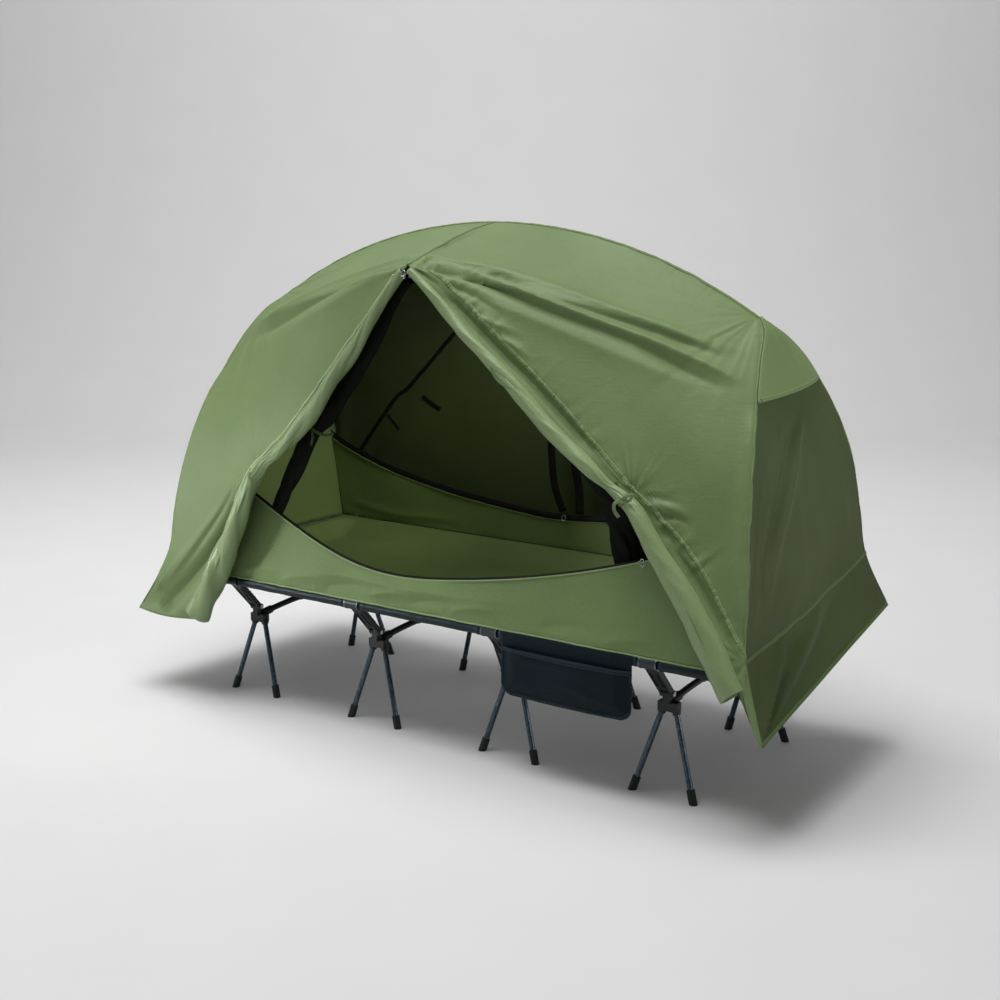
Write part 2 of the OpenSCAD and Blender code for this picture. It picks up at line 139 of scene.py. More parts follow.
def grid_of(x, y, z):
    """A grid of places from three arrays that fit each other."""
    return np.stack(np.broadcast_arrays(x, y, z), axis=-1).astype(float)


def lerp(a, b, share):
    return (1 - share) * a + share * b


def with_ends(p):
    """Rows, with one more guessed before the first and after the last."""
    return np.concatenate([2 * p[:1] - p[1:2], p, 2 * p[-1:] - p[-2:-1]])


def smooth_between(p, share):
    """A share of the way from each row to the next on a smooth curve; the end rows only steer it."""
    a, b, c, d = p[:-3], p[1:-2], p[2:-1], p[3:]
    return 0.5 * (2 * b + (c - a) * share + (2 * a - 5 * b + 4 * c - d) * share ** 2
                  + (3 * b - a - 3 * c + d) * share ** 3)


def refine_rows(grid, times):
    """Smooth extra rows between those of a grid."""
    ends = with_ends(grid)
    rows = [smooth_between(ends, k / times) for k in range(times)]
    fine = np.stack(rows, axis=1).reshape((-1,) + grid.shape[1:])
    return np.concatenate([fine, grid[-1:]])


def refine(grid, down, across):
    """Smooth extra rows and columns between those of a grid."""
    tall = refine_rows(grid, down)
    return np.moveaxis(refine_rows(np.moveaxis(tall, 1, 0), across), 0, 1)


def steps_of(line):
    """The distances between the places of a line."""
    return np.linalg.norm(np.diff(line, axis=0), axis=1)


def evenly(curve, count):
    """The same curve with count places evenly spaced along it."""
    run = np.concatenate([[0], np.cumsum(steps_of(curve))])
    at = np.linspace(0, run[-1], count)
    return np.stack([np.interp(at, run, curve[:, k]) for k in range(3)], axis=1)


def spline(points, count):
    """A smooth curve through the points, as count places evenly spaced along it."""
    steps_between = 24
    return evenly(refine_rows(vec(points), steps_between), count)


def coons(top, bottom, left, right):
    """A grid [row][column] that fills the space between four edge curves."""
    u = np.linspace(0, 1, len(top))[None, :, None]
    v = np.linspace(0, 1, len(left))[:, None, None]
    across = lerp(left[:, None], right[:, None], u)
    down = lerp(top[None], bottom[None], v)
    return across + down - lerp(lerp(top[0], top[-1], u), lerp(bottom[0], bottom[-1], u), v)


def tauten(grid, held):
    """Pulls a grid tight like a membrane, apart from the places that are held."""
    turns = 500
    g = grid.copy()
    free = ~held[1:-1, 1:-1, None]
    for _ in range(turns):
        middle = (g[:-2, 1:-1] + g[2:, 1:-1] + g[1:-1, :-2] + g[1:-1, 2:]) / 4
        g[1:-1, 1:-1] += free * (middle - g[1:-1, 1:-1])
    return g


def normals(grid):
    """The normal at each place of a grid."""
    n = np.cross(np.gradient(grid, axis=1), np.gradient(grid, axis=0))
    size = np.linalg.norm(n, axis=-1, keepdims=True)
    return np.where(size > 1e-12, n / np.maximum(size, 1e-12), 0)


def smooth_step(t):
    t = np.clip(t, 0, 1)
    return t * t * (3 - 2 * t)


def waves(x, seed):
    """A smooth random curve from -1 to 1, about one wave for each unit of x."""
    table = np.random.default_rng(seed).uniform(-1, 1, 512)
    k = np.floor(x).astype(int)
    return lerp(table[k % 512], table[(k + 1) % 512], smooth_step(x - k))


def noise(points, size, seed):
    """Smooth random heights from -1 to 1 over places in space, in patches of a size."""
    rng = np.random.default_rng(seed)
    total = np.zeros(points.shape[:-1])
    for _ in range(7):
        way = unit(rng.normal(size=3))
        total += np.sin(points @ way * 2 * math.pi / size + rng.uniform(0, 2 * math.pi))
    return total / 4


# ---------------------------------------------------------------- folds in cloth

class Folds:
    """Adds folds to a grid of cloth. Outward is along +normal."""

    def __init__(self, grid, out):
        self.grid = grid
        self.normal = normals(grid)
        middle = self.normal.reshape(-1, 3).sum(axis=0)
        if middle @ vec(out) < 0:
            self.normal = -self.normal
        self.height = np.zeros(grid.shape[:2])

    def near(self, path):
        """For each place the signed distance to a path, and the share of the path; then the path's length."""
        line = spline(path, 90)
        step = unit(np.gradient(line, axis=0))
        places = self.grid.reshape(-1, 3)
        nearest = np.zeros(len(places), int)
        best = np.full(len(places), 1e9)
        for k, p in enumerate(line):
            d = ((places - p) ** 2).sum(axis=1)
            closer = d < best
            nearest[closer] = k
            best[closer] = d[closer]
        offset = places - line[nearest]
        side = np.cross(self.normal.reshape(-1, 3), step[nearest])
        away = (offset * side).sum(axis=1)
        past = (offset * step[nearest]).sum(axis=1)
        run = steps_of(line).sum()
        last = len(line) - 1
        share = nearest / last + np.where((nearest == 0) | (nearest == last), past / run, 0)
        return away.reshape(self.height.shape), share.reshape(self.height.shape), run

    def ridge(self, path, width, height, fade=(0.15, 0.25), spread=0.0, sharp=1.3):
        """One long fold along a path. It widens by spread towards its far end."""
        away, share, _ = self.near(path)
        wide = width * (1 + spread * np.clip(share, 0, 1))
        ends = smooth_step(share / fade[0]) * smooth_step((1 - share) / fade[1])
        self.height += height * ends * np.exp(-np.abs(away / wide) ** sharp)

    def puckers(self, path, pitch, reach, height, seed):
        """Short folds across a seam, as stitching pulls them."""
        away, share, run = self.near(path)
        along = share * run
        fold = waves(along / pitch * 2, seed) * (0.6 + 0.4 * waves(along / 0.11, seed + 1))
        length = reach * (0.55 + 0.45 * waves(along / pitch, seed + 2))
        inside = (share > -0.01) & (share < 1.01)
        self.height += height * fold * inside * np.exp(-(away / np.maximum(length, 0.006)) ** 2)

    def fan(self, centre, reach, height, count, seed, toward):
        """Folds that spread from a point where the cloth is pulled."""
        offset = self.grid - vec(centre)
        far = np.linalg.norm(offset, axis=-1)
        axis = unit(vec(toward) - vec(centre))
        n = self.normal
        first = unit(axis - n * (n @ axis)[..., None])
        second = np.cross(n, first)
        angle = np.arctan2((offset * second).sum(-1), (offset * first).sum(-1))
        fold = waves(angle / (2 * math.pi) * count * 2 + 300, seed)
        body = np.exp(-(far / reach) ** 2) * smooth_step(far / (0.18 * reach))
        self.height += height * fold * body

    def billow(self, size, height, seed):
        """Broad soft unevenness."""
        self.height += height * noise(self.grid, size, seed)

    def streaks(self, way, pitch, length, height, seed):
        """Long faint creases that all run one way."""
        along = unit(vec(way))
        x = (self.grid * unit(np.cross(self.normal, along))).sum(-1)
        y = self.grid @ along
        fold = waves(x / pitch * 2 + 40 + 0.6 * waves(y / length + 20, seed + 3), seed)
        breaks = waves(y / length + 3 * waves(x / pitch + 60, seed + 1) + 80, seed + 2)
        self.height += height * fold * (0.5 + 0.5 * breaks)

    def done(self, last_row_free=False):
        """The folded grid. Edges stay where they are, so that neighbours still meet."""
        rows, cols = (np.arange(count) for count in self.height.shape)
        edge_row = rows if last_row_free else np.minimum(rows, rows[::-1])
        edge = np.minimum(edge_row[:, None], np.minimum(cols, cols[::-1]))
        return self.grid + self.normal * (self.height * smooth_step(edge / 3.0))[..., None]


# ---------------------------------------------------------------- mesh helpers

def grid_faces(rows, cols, start=0, flip=False, wrap=False):
    quads = []
    for r in range(rows - 1):
        for c in range(cols if wrap else cols - 1):
            a = start + r * cols + c
            b = start + r * cols + (c + 1) % cols
            quad = (a, a + cols, b + cols, b)
            quads.append(quad[::-1] if flip else quad)
    return quads


def several_grids(grids, flips):
    """The places and faces of several grids as two lists, with the faces of some grids turned over."""
    verts = []
    faces = []
    for grid, flip in zip(grids, flips):
        faces += grid_faces(*grid.shape[:2], start=len(verts), flip=flip)
        verts += [tuple(map(float, p)) for p in grid.reshape(-1, 3)]
    return verts, faces


def smooth_faces(mesh):
    mesh.polygons.foreach_set("use_smooth", [True] * len(mesh.polygons))


def make_mesh(name, verts, faces):
    mesh = bpy.data.meshes.new(name)
    mesh.from_pydata([tuple(map(float, v)) for v in verts], [], faces)
    mesh.validate()
    mesh.update()
    smooth_faces(mesh)
    piece = bpy.data.objects.new(name, mesh)
    bpy.context.scene.collection.objects.link(piece)
    return piece


def sheet_mesh(name, grids, flips=None):
    """One mesh from several grids of places, welded where they meet, without faces that have no area."""
    piece = make_mesh(name, *several_grids(grids, flips or [False] * len(grids)))
    bm = bmesh.new()
    bm.from_mesh(piece.data)
    bmesh.ops.remove_doubles(bm, verts=bm.verts, dist=WELD)
    bmesh.ops.dissolve_degenerate(bm, edges=bm.edges, dist=WELD / 2)
    bm.to_mesh(piece.data)
    bm.free()
    smooth_faces(piece.data)
    return piece


def capped_bar(name, rings):
    """A mesh through rings of places along a line, closed at both ends."""
    count, sides = rings.shape[:2]
    faces = grid_faces(count, sides, wrap=True)
    faces.append(tuple(range(sides)))
    faces.append(tuple(range((count - 1) * sides, count * sides))[::-1])
    return make_mesh(name, rings.reshape(-1, 3), faces)


def closed_ring(name, rings):
    """A mesh through rings of places that follow each other round a loop."""
    count, sides = rings.shape[:2]
    quads = grid_faces(count + 1, sides, flip=True, wrap=True)
    faces = [tuple(corner % (count * sides) for corner in quad) for quad in quads]
    return make_mesh(name, rings.reshape(-1, 3), faces)


def circle(count):
    """The cosines and sines of evenly spaced turns, as columns."""
    turn = np.linspace(0, 2 * math.pi, count, endpoint=False)[:, None]
    return np.cos(turn), np.sin(turn)


def frames_along(line, up=(0, 0, 1)):
    """Two directions across a line at each of its places, turned as little as possible."""
    step = unit(np.gradient(line, axis=0))
    first = np.cross(step[0], vec(up))
    if np.linalg.norm(first) < 1e-3:
        first = np.cross(step[0], vec((1, 0, 0)))
    u = unit(first)
    us = []
    for t in step:
        u = unit(u - t * (u @ t))
        us.append(u)
    return np.array(us), np.cross(step, us)


def piping(name, line, radius, material, slot="tent_cloth"):
    """A thin round bead of cloth along a line."""
    u, v = frames_along(line)
    cos, sin = circle(8)
    rings = line[:, None] + radius * (cos * u[:, None] + sin * v[:, None])
    add(capped_bar(name, rings), slot, material)


def join(name, pieces):
    """One piece from several."""
    bpy.ops.object.select_all(action="DESELECT")
    for piece in pieces:
        piece.select_set(True)
    bpy.context.view_layer.objects.active = pieces[0]
    bpy.ops.object.join()
    joined = bpy.context.view_layer.objects.active
    joined.name = name
    joined.data.name = name
    return joined


def lay_uv(piece, across, along):
    """A UV map in metres, from the columns and rows of the grid that a mesh was made from."""
    uv = piece.data.uv_layers.new(name="UVMap")
    for loop in piece.data.loops:
        row, col = divmod(loop.vertex_index, len(across))
        uv.data[loop.index].uv = (across[col], along[row])


def face_out(piece, centre):
    """Turns a sheet's faces away from a point."""
    total = sum(f.area * f.normal.dot(f.center - Vector(centre)) for f in piece.data.polygons)
    if total < 0:
        piece.data.flip_normals()


def thicken(piece, thick=CLOTH, inner=0):
    """Gives a sheet its thickness, inward, with an inner material if there is one."""
    solid = piece.modifiers.new("thickness", "SOLIDIFY")
    solid.thickness = thick
    solid.offset = -1
    solid.material_offset = inner
    solid.material_offset_rim = 0


def dress(piece, *materials):
    piece.data.materials.clear()
    for material in materials:
        piece.data.materials.append(material)


def add(piece, slot, *materials):
    dress(piece, *materials)
    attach(piece, ROOT)
    return piece


def cloth(name, grids, slot, *materials, away_from=None, thick=CLOTH, node=None, flips=None):
    """A piece of cloth, outside first among its materials, facing away from a point, in place of a node."""
    piece = sheet_mesh(name, grids, flips)
    if away_from:
        face_out(piece, away_from)
    add(piece, slot, *materials)
    thicken(piece, thick, inner=len(materials) - 1)
    if node:
        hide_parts(node)
    return piece


def tree_of(grids):
    """A search tree over grids of cloth, for laying tapes on them."""
    return BVHTree.FromPolygons(*several_grids(grids, [False] * len(grids)))


def tape(name, path, width, tree, out, material, slot="fly_cloth", on="rainfly", lift=0.0012, crown=0.0008,
         count=200, lump=0.0, seed=1, base=0.0):
    """A sewn strip that follows a path on the cloth, slightly proud of it.

    base is how far the cloth lies above its own grid on this side, lump how uneven the strip is."""
    rounds = 6
    sunk_edge = np.full(count, -0.0004)
    hits = [tree.find_nearest(Vector(p)) for p in spline(path, count)]
    line = np.array([hit[0] for hit in hits])
    normal = np.array([hit[1] for hit in hits])
    normal *= np.sign(normal @ vec(out))[:, None]
    for _ in range(rounds):
        normal[1:-1] = unit(normal[:-2] + normal[1:-1] + normal[2:])
        line[1:-1] = (line[:-2] + 2 * line[1:-1] + line[2:]) / 4
    side = unit(np.cross(normal, unit(np.gradient(line, axis=0))))
    run = steps_of(line).sum()
    along = np.linspace(0, run, count)
    wave = 1 + lump * waves(along / 0.012, seed)
    wander = 0.0012 * lump * waves(along / 0.03, seed + 5)
    places = np.array([-1.0, -0.86, -0.4, 0.0, 0.4, 0.86, 1.0])
    rows = []
    for at in places:
        spots = line + side * (at * width / 2 + wander)[:, None]
        spots = np.array([tree.find_nearest(Vector(p))[0] for p in spots])
        height = sunk_edge if abs(at) == 1 else 1.2 * lift + crown * (1 - at * at) * wave
        rows.append(spots + normal * (base + height)[:, None])
    grid = np.stack(rows, axis=1)
    piece = make_mesh(name, grid.reshape(-1, 3), grid_faces(count, len(places)))
    lay_uv(piece, places * width / 2, along)
    if sum(f.area * f.normal.dot(Vector(out)) for f in piece.data.polygons) < 0:
        piece.data.flip_normals()
    thicken(piece, 0.0006)
    add(piece, slot, material)


# ---------------------------------------------------------------- materials

def colour(code):
    """The linear colour of an sRGB hex code."""
    parts = [int(code[k:k + 2], 16) / 255 for k in (1, 3, 5)]
    return tuple(c / 12.92 if c <= 0.04045 else ((c + 0.055) / 1.055) ** 2.4 for c in parts) + (1.0,)


class Shader:
    """A new procedural material, with short ways to add the nodes that the materials here need."""

    def __init__(self, name, rough=0.5, **looks):
        self.material = bpy.data.materials.new(name)
        self.material.use_nodes = True
        self.tree = self.material.node_tree
        self.main = self.tree.nodes["Principled BSDF"]
        self.bumped = None
        self.feed(self.main.inputs["Roughness"], rough)
        for key, value in looks.items():
            self.feed(self.main.inputs[key.replace("_", " ")], value)
        self.where = self.node("ShaderNodeTexCoord").outputs["Object"]

    def feed(self, socket, value):
        """Links a socket to another one, or sets it to a number or to a colour's hex code."""
        if isinstance(value, bpy.types.NodeSocket):
            self.tree.links.new(value, socket)
        else:
            socket.default_value = colour(value) if isinstance(value, str) else value

    def node(self, kind, inputs=None, **settings):
        new = self.tree.nodes.new(kind)
        for key, value in settings.items():
            setattr(new, key, value)
        for key, value in (inputs or {}).items():
            self.feed(new.inputs[key], value)
        return new

    def math(self, operation, *values):
        return self.node("ShaderNodeMath", dict(enumerate(values)), operation=operation).outputs[0]

    def noise(self, scale, detail, where=None, **more):
        place = self.where if where is None else where
        inputs = {"Vector": place, "Scale": scale, "Detail": detail, **more}
        return self.node("ShaderNodeTexNoise", inputs).outputs["Fac"]

    def cells(self, feature, scale, randomness):
        inputs = {"Vector": self.where, "Scale": scale, "Randomness": randomness}
        return self.node("ShaderNodeTexVoronoi", inputs, feature=feature).outputs["Distance"]

    def weave(self, pitch):
        """The height of a plain weave: threads that cross along two diagonals of space."""
        inputs = {"Vector": self.where, "Scale": 0.05 / pitch, "Distortion": 0.4, "Detail": 1.0,
                  "Detail Scale": 2.0}
        threads = [self.node("ShaderNodeTexWave", inputs, bands_direction=way) for way in "XZ"]
        return self.math("ADD", *(thread.outputs["Fac"] for thread in threads))

    def squeezed(self, where, scale):
        return self.node("ShaderNodeMapping", {"Vector": where, "Scale": scale}).outputs[0]

    def ramp(self, value, low_at, high_at, top=1.0):
        """A value stretched from 0 at low_at to top at high_at."""
        inputs = {"Value": value, "From Min": low_at, "From Max": high_at, "To Max": top}
        return self.node("ShaderNodeMapRange", inputs).outputs[0]

    def worn_edges(self, low_at, high_at, top):
        """How far the surface stands out at a place, as edges do."""
        return self.ramp(self.node("ShaderNodeNewGeometry").outputs["Pointiness"], low_at, high_at, top)

    def mix(self, share, a, b):
        """A colour between two others."""
        new = self.node("ShaderNodeMix", data_type="RGBA")
        for key, value in (("Factor", share), ("A", a), ("B", b)):
            self.feed([s for s in new.inputs if s.name == key and s.enabled][0], value)
        return [s for s in new.outputs if s.enabled][0]

    def base_colour(self, share, a, b):
        self.feed(self.main.inputs["Base Color"], self.mix(share, a, b))

    def uneven_gloss(self, value, smoothest, roughest):
        inputs = {"Value": value, "To Min": smoothest, "To Max": roughest}
        self.feed(self.main.inputs["Roughness"], self.node("ShaderNodeMapRange", inputs).outputs[0])

    def bump(self, height, strength, distance):
        """Adds relief on top of the relief that is there already."""
        new = self.node("ShaderNodeBump", {"Height": height, "Strength": strength, "Distance": distance})
        if self.bumped is not None:
            self.feed(new.inputs["Normal"], self.bumped)
        self.bumped = new.outputs[0]
        self.feed(self.main.inputs["Normal"], self.bumped)


def fabric(name, base, shade, rough=0.62, pitch=0.0016, crease=0.35, sheen=0.25, wear="#9fb088",
           wear_share=0.12, gloss=0.34):
    """Woven cloth: uneven dye, a plain weave, fine creases and a soft sheen."""
    s = Shader(name, Specular_IOR_Level=gloss, Sheen_Weight=sheen, Sheen_Roughness=0.42)
    patches = s.noise(3.1, 3.0)
    dye = s.mix(s.ramp(patches, 0.36, 0.66), shade, base)
    thread = s.mix(s.ramp(s.noise(420.0, 2.0), 0.35, 0.7, top=0.14), dye, wear)
    s.base_colour(s.worn_edges(0.505, 0.56, wear_share), thread, wear)
    s.uneven_gloss(patches, rough - 0.06, rough + 0.06)
    s.bump(s.weave(pitch), 0.12, 0.0004)
    s.bump(s.noise(22.0, 5.0, Roughness=0.62, Distortion=1.2), crease, 0.004)
    s.bump(s.cells("SMOOTH_F1", 17.0, 1.0), crease * 0.35, 0.004)
    return s.material


def stitched(name, base, thread, rows=(-0.3, 0.3), pitch=0.0045, pucker=0.0):
    """Tape with rows of stitches along it; its UV is metres across and along.

    rows are the stitches' places across the tape; pucker adds folds across it."""
    width = 0.012
    s = Shader(name, rough=0.6, Specular_IOR_Level=0.2)
    uv = s.node("ShaderNodeTexCoord").outputs["UV"]
    across, along, _ = s.node("ShaderNodeSeparateXYZ", {"Vector": uv}).outputs
    dash = s.math("COMPARE", s.math("FRACT", s.math("DIVIDE", along, pitch)), 0.5, 0.3)
    lines = [s.math("COMPARE", across, at * width, 0.0007) for at in rows]
    stitch = s.math("MULTIPLY", s.math("MAXIMUM", *lines), dash)
    cloth = s.mix(s.ramp(s.noise(260.0, 3.0), 0.3, 0.7, top=0.2), base, thread)
    s.base_colour(stitch, cloth, thread)
    s.bump(s.weave(0.0014), 0.12, 0.0004)
    s.bump(s.noise(75.0, 3.0, Roughness=0.6), 0.5, 0.002)
    s.bump(stitch, 0.6, 0.0006)
    if pucker:
        s.bump(s.noise(1.0, 3.0, s.squeezed(uv, (22.0, 95.0, 1.0)), Roughness=0.55), pucker, 0.008)
    return s.material


def netting(name, base, light):
    """Fine insect mesh, dark, with its threads as a lattice."""
    s = Shader(name, rough=0.7, Specular_IOR_Level=0.08)
    cells = s.cells("DISTANCE_TO_EDGE", 520.0, 0.25)
    s.base_colour(s.ramp(cells, 0.28, 0.1, top=0.5), base, light)
    s.bump(s.ramp(cells, 0.28, 0.1), 0.25, 0.0004)
    s.bump(s.noise(30.0, 4.0), 0.5, 0.004)
    return s.material


def metal(name, base, worn, rough=0.3, grain=0.25, along="Z"):
    """Anodised tube: drawn grain along it, fine scratches and pale wear."""
    s = Shader(name, Metallic=1.0)
    scale = [2.0 if axis == along else 90.0 for axis in "XYZ"]
    drawn = s.noise(6.0, 4.0, s.squeezed(s.where, scale))
    tone = s.mix(s.ramp(drawn, 0.3, 0.7, top=0.3), base, worn)
    scuffs = s.ramp(s.noise(130.0, 6.0, Roughness=0.7), 0.62, 0.72, top=0.35)
    s.base_colour(scuffs, tone, worn)
    s.uneven_gloss(drawn, rough - 0.06, rough + 0.1)
    s.bump(drawn, grain, 0.0004)
    return s.material


def plastic(name, base, worn, rough=0.48, bump=0.3, scale=240.0, gloss=0.4):
    """Moulded plastic or rubber: a spark-eroded grain, uneven gloss and pale scuffed edges."""
    s = Shader(name, Specular_IOR_Level=gloss)
    patches = s.noise(24.0, 3.0)
    tone = s.mix(s.ramp(patches, 0.35, 0.7, top=0.25), base, worn)
    s.base_colour(s.worn_edges(0.52, 0.62, 0.4), tone, worn)
    s.uneven_gloss(patches, rough - 0.08, rough + 0.08)
    s.bump(s.noise(scale, 4.0, Roughness=0.6), bump, 0.0005)
    return s.material


FLY = fabric("fly_cloth", "#6a7e50", "#617548", rough=0.52, sheen=0.02, gloss=0.3, wear="#87996e")
# The fly's inside is the same cloth as its outside, coloured much darker as painted shade inside the tent
FLY_INSIDE_SHADED = fabric("fly_inside", "#3f4c24", "#37441e", crease=0.3, sheen=0.02, wear="#475430")
# The rolled doors are the fly's own cloth, coloured lighter than the fly as painted light on the rolls
ROLL_LIT = fabric("fly_roll_lit", "#7a8f60", "#6e8354", rough=0.42, crease=0.5, sheen=0.05, gloss=0.5)
SEAM = stitched("fly_seam", "#5f7346", "#84976b")
PUCKER = stitched("puckered_seam", "#687c4e", "#91a478", rows=(-0.25, 0.25), pucker=0.9)
# Seam and hem tape on the end walls, coloured darker than the other seam tape as painted shade on those walls
SKIRT_SEAM_SHADED = stitched("skirt_seam", "#4d5f37", "#6b7f51")
# A bead of piping along the left door's edge, coloured far paler than the fly as a painted highlight along
# that edge
PIPING_HIGHLIGHT = fabric("piping", "#b4c797", "#a3b787", crease=0.2, sheen=0.1, pitch=0.001)
TRIM = fabric("tent_piping", "#8ba06f", "#7d9262", crease=0.2, sheen=0.05, pitch=0.001)
TENT = fabric("tent_cloth", "#6a7f4f", "#607547", sheen=0.02, gloss=0.2)
TENT_IN = fabric("tent_inside", "#6e8048", "#647640", crease=0.3, sheen=0.04, wear="#74854c")
TENT_SEAM = stitched("tent_seam", "#3c4a24", "#505f38")
BED = fabric("bed_cloth", "#2c381d", "#26311c", sheen=0.05, wear="#3f4c31")
SLEEVE = fabric("rail_sleeve", "#0f1f24", "#0b181c", rough=0.42, sheen=0.0, crease=0.25, wear="#253a41",
                wear_share=0.25, gloss=0.2)
POCKET = fabric("pocket_cloth", "#08171f", "#051118", rough=0.55, sheen=0.0, crease=0.5, wear="#152a34",
                wear_share=0.2, gloss=0.12)
POCKET_SEAM = stitched("pocket_seam", "#0b1a21", "#1d3540")
BINDING = stitched("black_binding", "#070807", "#151812")
WEBBING = stitched("black_webbing", "#060606", "#12140f", pitch=0.006)
NET = netting("black_mesh", "#050705", "#161b11")
LEG_METAL = metal("leg_metal", "#1e262d", "#93a6b5", rough=0.24, grain=0.12)
RAIL_METAL = metal("rail_metal", "#1a2023", "#5d686d", rough=0.34, along="X")
POLE_METAL = metal("pole_metal", "#4a4f53", "#8a8f93")
BRIGHT = metal("bright_metal", "#a4a8aa", "#e4e6e6", rough=0.24, grain=0.15)
RING_METAL = metal("ring_metal", "#4b5256", "#9aa3a8", rough=0.28, grain=0.15, along="X")
BLACK = plastic("black_plastic", "#0c0e0f", "#2a2e30")
CLAMP = plastic("clamp_plastic", "#0e1316", "#30393e", rough=0.42)
RUBBER = plastic("foot_rubber", "#090a0a", "#222425", rough=0.66, bump=0.4, scale=160.0, gloss=0.3)


# ---------------------------------------------------------------- camera, light and floor

# The photo's viewpoint, turned from the door side towards the right end
AZIMUTH = math.radians(35.29)
ELEVATION = math.radians(11.12)


def aim_at(thing, target):
    way = Vector(target) - thing.location
    thing.rotation_euler = way.to_track_quat("-Z", "Y").to_euler()


def camera():
    """Three-quarter view from the front right, a little above the bed."""
    distance = 4.4175
    target = Vector((0.0175, 0, 0.6832))
    data = bpy.data.cameras.new("camera")
    data.lens = 52.15
    data.sensor_width = 36
    data.dof.use_dof = False
    thing = bpy.data.objects.new("camera", data)
    level = math.cos(ELEVATION)
    way = Vector((math.sin(AZIMUTH) * level, -math.cos(AZIMUTH) * level, math.sin(ELEVATION)))
    thing.location = target + distance * way
    aim_at(thing, target)
    bpy.context.scene.collection.objects.link(thing)
    bpy.context.scene.camera = thing


def area_light(name, where, target, size, power, spread=180):
    """A soft rectangle of light; spread is in degrees."""
    data = bpy.data.lights.new(name, "AREA")
    data.shape = "RECTANGLE"
    data.size, data.size_y = size
    data.energy = power
    data.spread = math.radians(spread)
    thing = bpy.data.objects.new(name, data)
    thing.location = where
    aim_at(thing, target)
    bpy.context.scene.collection.objects.link(thing)


def backdrop(ahead, across):
    """A pale floor that sweeps up into a wall behind."""
    s = Shader("studio_floor", rough=0.9, Specular_IOR_Level=0.1)
    s.base_colour(s.noise(3.0, 2.0), "#dedede", "#e2e2e2")
    size = 30
    back = 5.2
    bend = 3.0
    tall = 12
    turns = np.linspace(0, math.pi / 2, 14)
    run = np.concatenate([[-size], back + bend * np.sin(turns), [back + bend]])[:, None, None]
    up = np.concatenate([[0.0], bend * (1 - np.cos(turns)), [tall]])[:, None, None]
    sides = np.array([-size, size])[None, :, None]
    grid = across * sides + ahead * run + vec((0, 0, 1)) * up
    floor = make_mesh("floor", grid.reshape(-1, 3), grid_faces(*grid.shape[:2]))
    face_out(floor, (0, -3, -60))
    dress(floor, s.material)


def studio():
    """The backdrop, and soft light from above and the left."""
    ahead = np.array([-math.sin(AZIMUTH), math.cos(AZIMUTH), 0])
    across = np.array([math.cos(AZIMUTH), math.sin(AZIMUTH), 0])
    backdrop(ahead, across)
    scene = bpy.context.scene
    scene.world = scene.world or bpy.data.worlds.new("world")
    scene.world.use_nodes = True
    sky = scene.world.node_tree.nodes["Background"].inputs
    sky["Color"].default_value = (1.0, 1.0, 1.0, 1.0)
    sky["Strength"].default_value = 0.19
    scene.view_settings.view_transform = "Standard"
    middle = (0, 0, 0.7)
    area_light("key", (-0.5, -1.0, 6.5), middle, (4.0, 4.0), 372)
    area_light("left", (-3.4, -1.6, 3.4), middle, (2.2, 2.2), 12)
    area_light("front", (0.6, -5.2, 2.6), middle, (3.0, 2.0), 10)
    area_light("low_left", (-3.4, -3.0, 1.2), (-0.75, -0.4, 0.62), (1.0, 0.8), 2.4, spread=22)
    area_light("end", (4.4, 0.5, 1.2), (1.0, 0.0, 1.0), (1.2, 1.0), 2.6, spread=30)
    area_light("wall_wash", ahead * 2.6 + vec((0, 0, 6.2)), ahead * 8.2 + vec((0, 0, 3.0)), (7.0, 2.0), 195)
    area_light("under_roof", (-0.05, 0.05, 1.28), (-0.12, 0.08, 0), (0.7, 0.2), 1.7)
    area_light("inner_end", (0.15, 0.0, 1.15), (-0.95, 0.2, 0.5), (0.3, 0.3), 0.5, spread=55)


# ---------------------------------------------------------------- rainfly

def ridge_line(count):
    """The ridge from the middle to its right end."""
    rise = RIDGE_TOP - SHOULDER_Z
    r = (RIDGE_X ** 2 + rise ** 2) / (2 * rise)
    x = np.linspace(0, RIDGE_X, count)
    return grid_of(x, 0, RIDGE_TOP - r + np.sqrt(r * r - x * x))


def brow_line(side, count):
    """From the middle of the ridge over the cross pole to its tip."""
    y = np.linspace(0, -BROW_TIP[1], count)
    drop = (RIDGE_TOP - BROW_TIP[2]) * (y / -BROW_TIP[1]) ** 1.35
    return grid_of(0, side * y, RIDGE_TOP - drop)


def two_part(first, second):
    """Two curves end to end, as one fly wall's rows; the first takes the rows of the roof."""
    split = round(BROW_SHARE * FLY_ROWS)
    return np.vstack([evenly(first, split + 1), evenly(second, FLY_ROWS - split + 1)[1:]])


def seam_line(points, end):
    """A corner seam, with its rows set so that the brow's tip faces the shoulder."""
    curve = spline(points, SEAM_PLACES)
    cut = int(SEAM_SHARE * (SEAM_PLACES - 1))
    return mirrored(two_part(curve[:cut + 1], curve[cut:]), end)


def skirt_row(points, height):
    """The row of a seam at which it reaches a height."""
    return int(np.argmin(np.abs(seam_line(points, 1)[:, 2] - height)))


def half_wall(end, middle, corner, sag, bulge, across):
    """Half of a long wall: roof from the ridge to the brow, then down between the middle and a corner."""
    top = mirrored(ridge_line(FLY_COLS + 1), end)
    u = np.linspace(0, 1, FLY_COLS + 1)[:, None]
    arch = np.sin(math.pi * u)
    bottom = lerp(middle[-1], corner[-1], u) + arch * sag
    grid = coons(top, bottom, middle, corner)
    row = round(BROW_SHARE * FLY_ROWS)
    grid[row] = lerp(middle[row], corner[row], u) + arch * bulge
    held = np.zeros(grid.shape[:2], bool)
    held[row] = True
    return refine(tauten(grid, held), FINE, across)


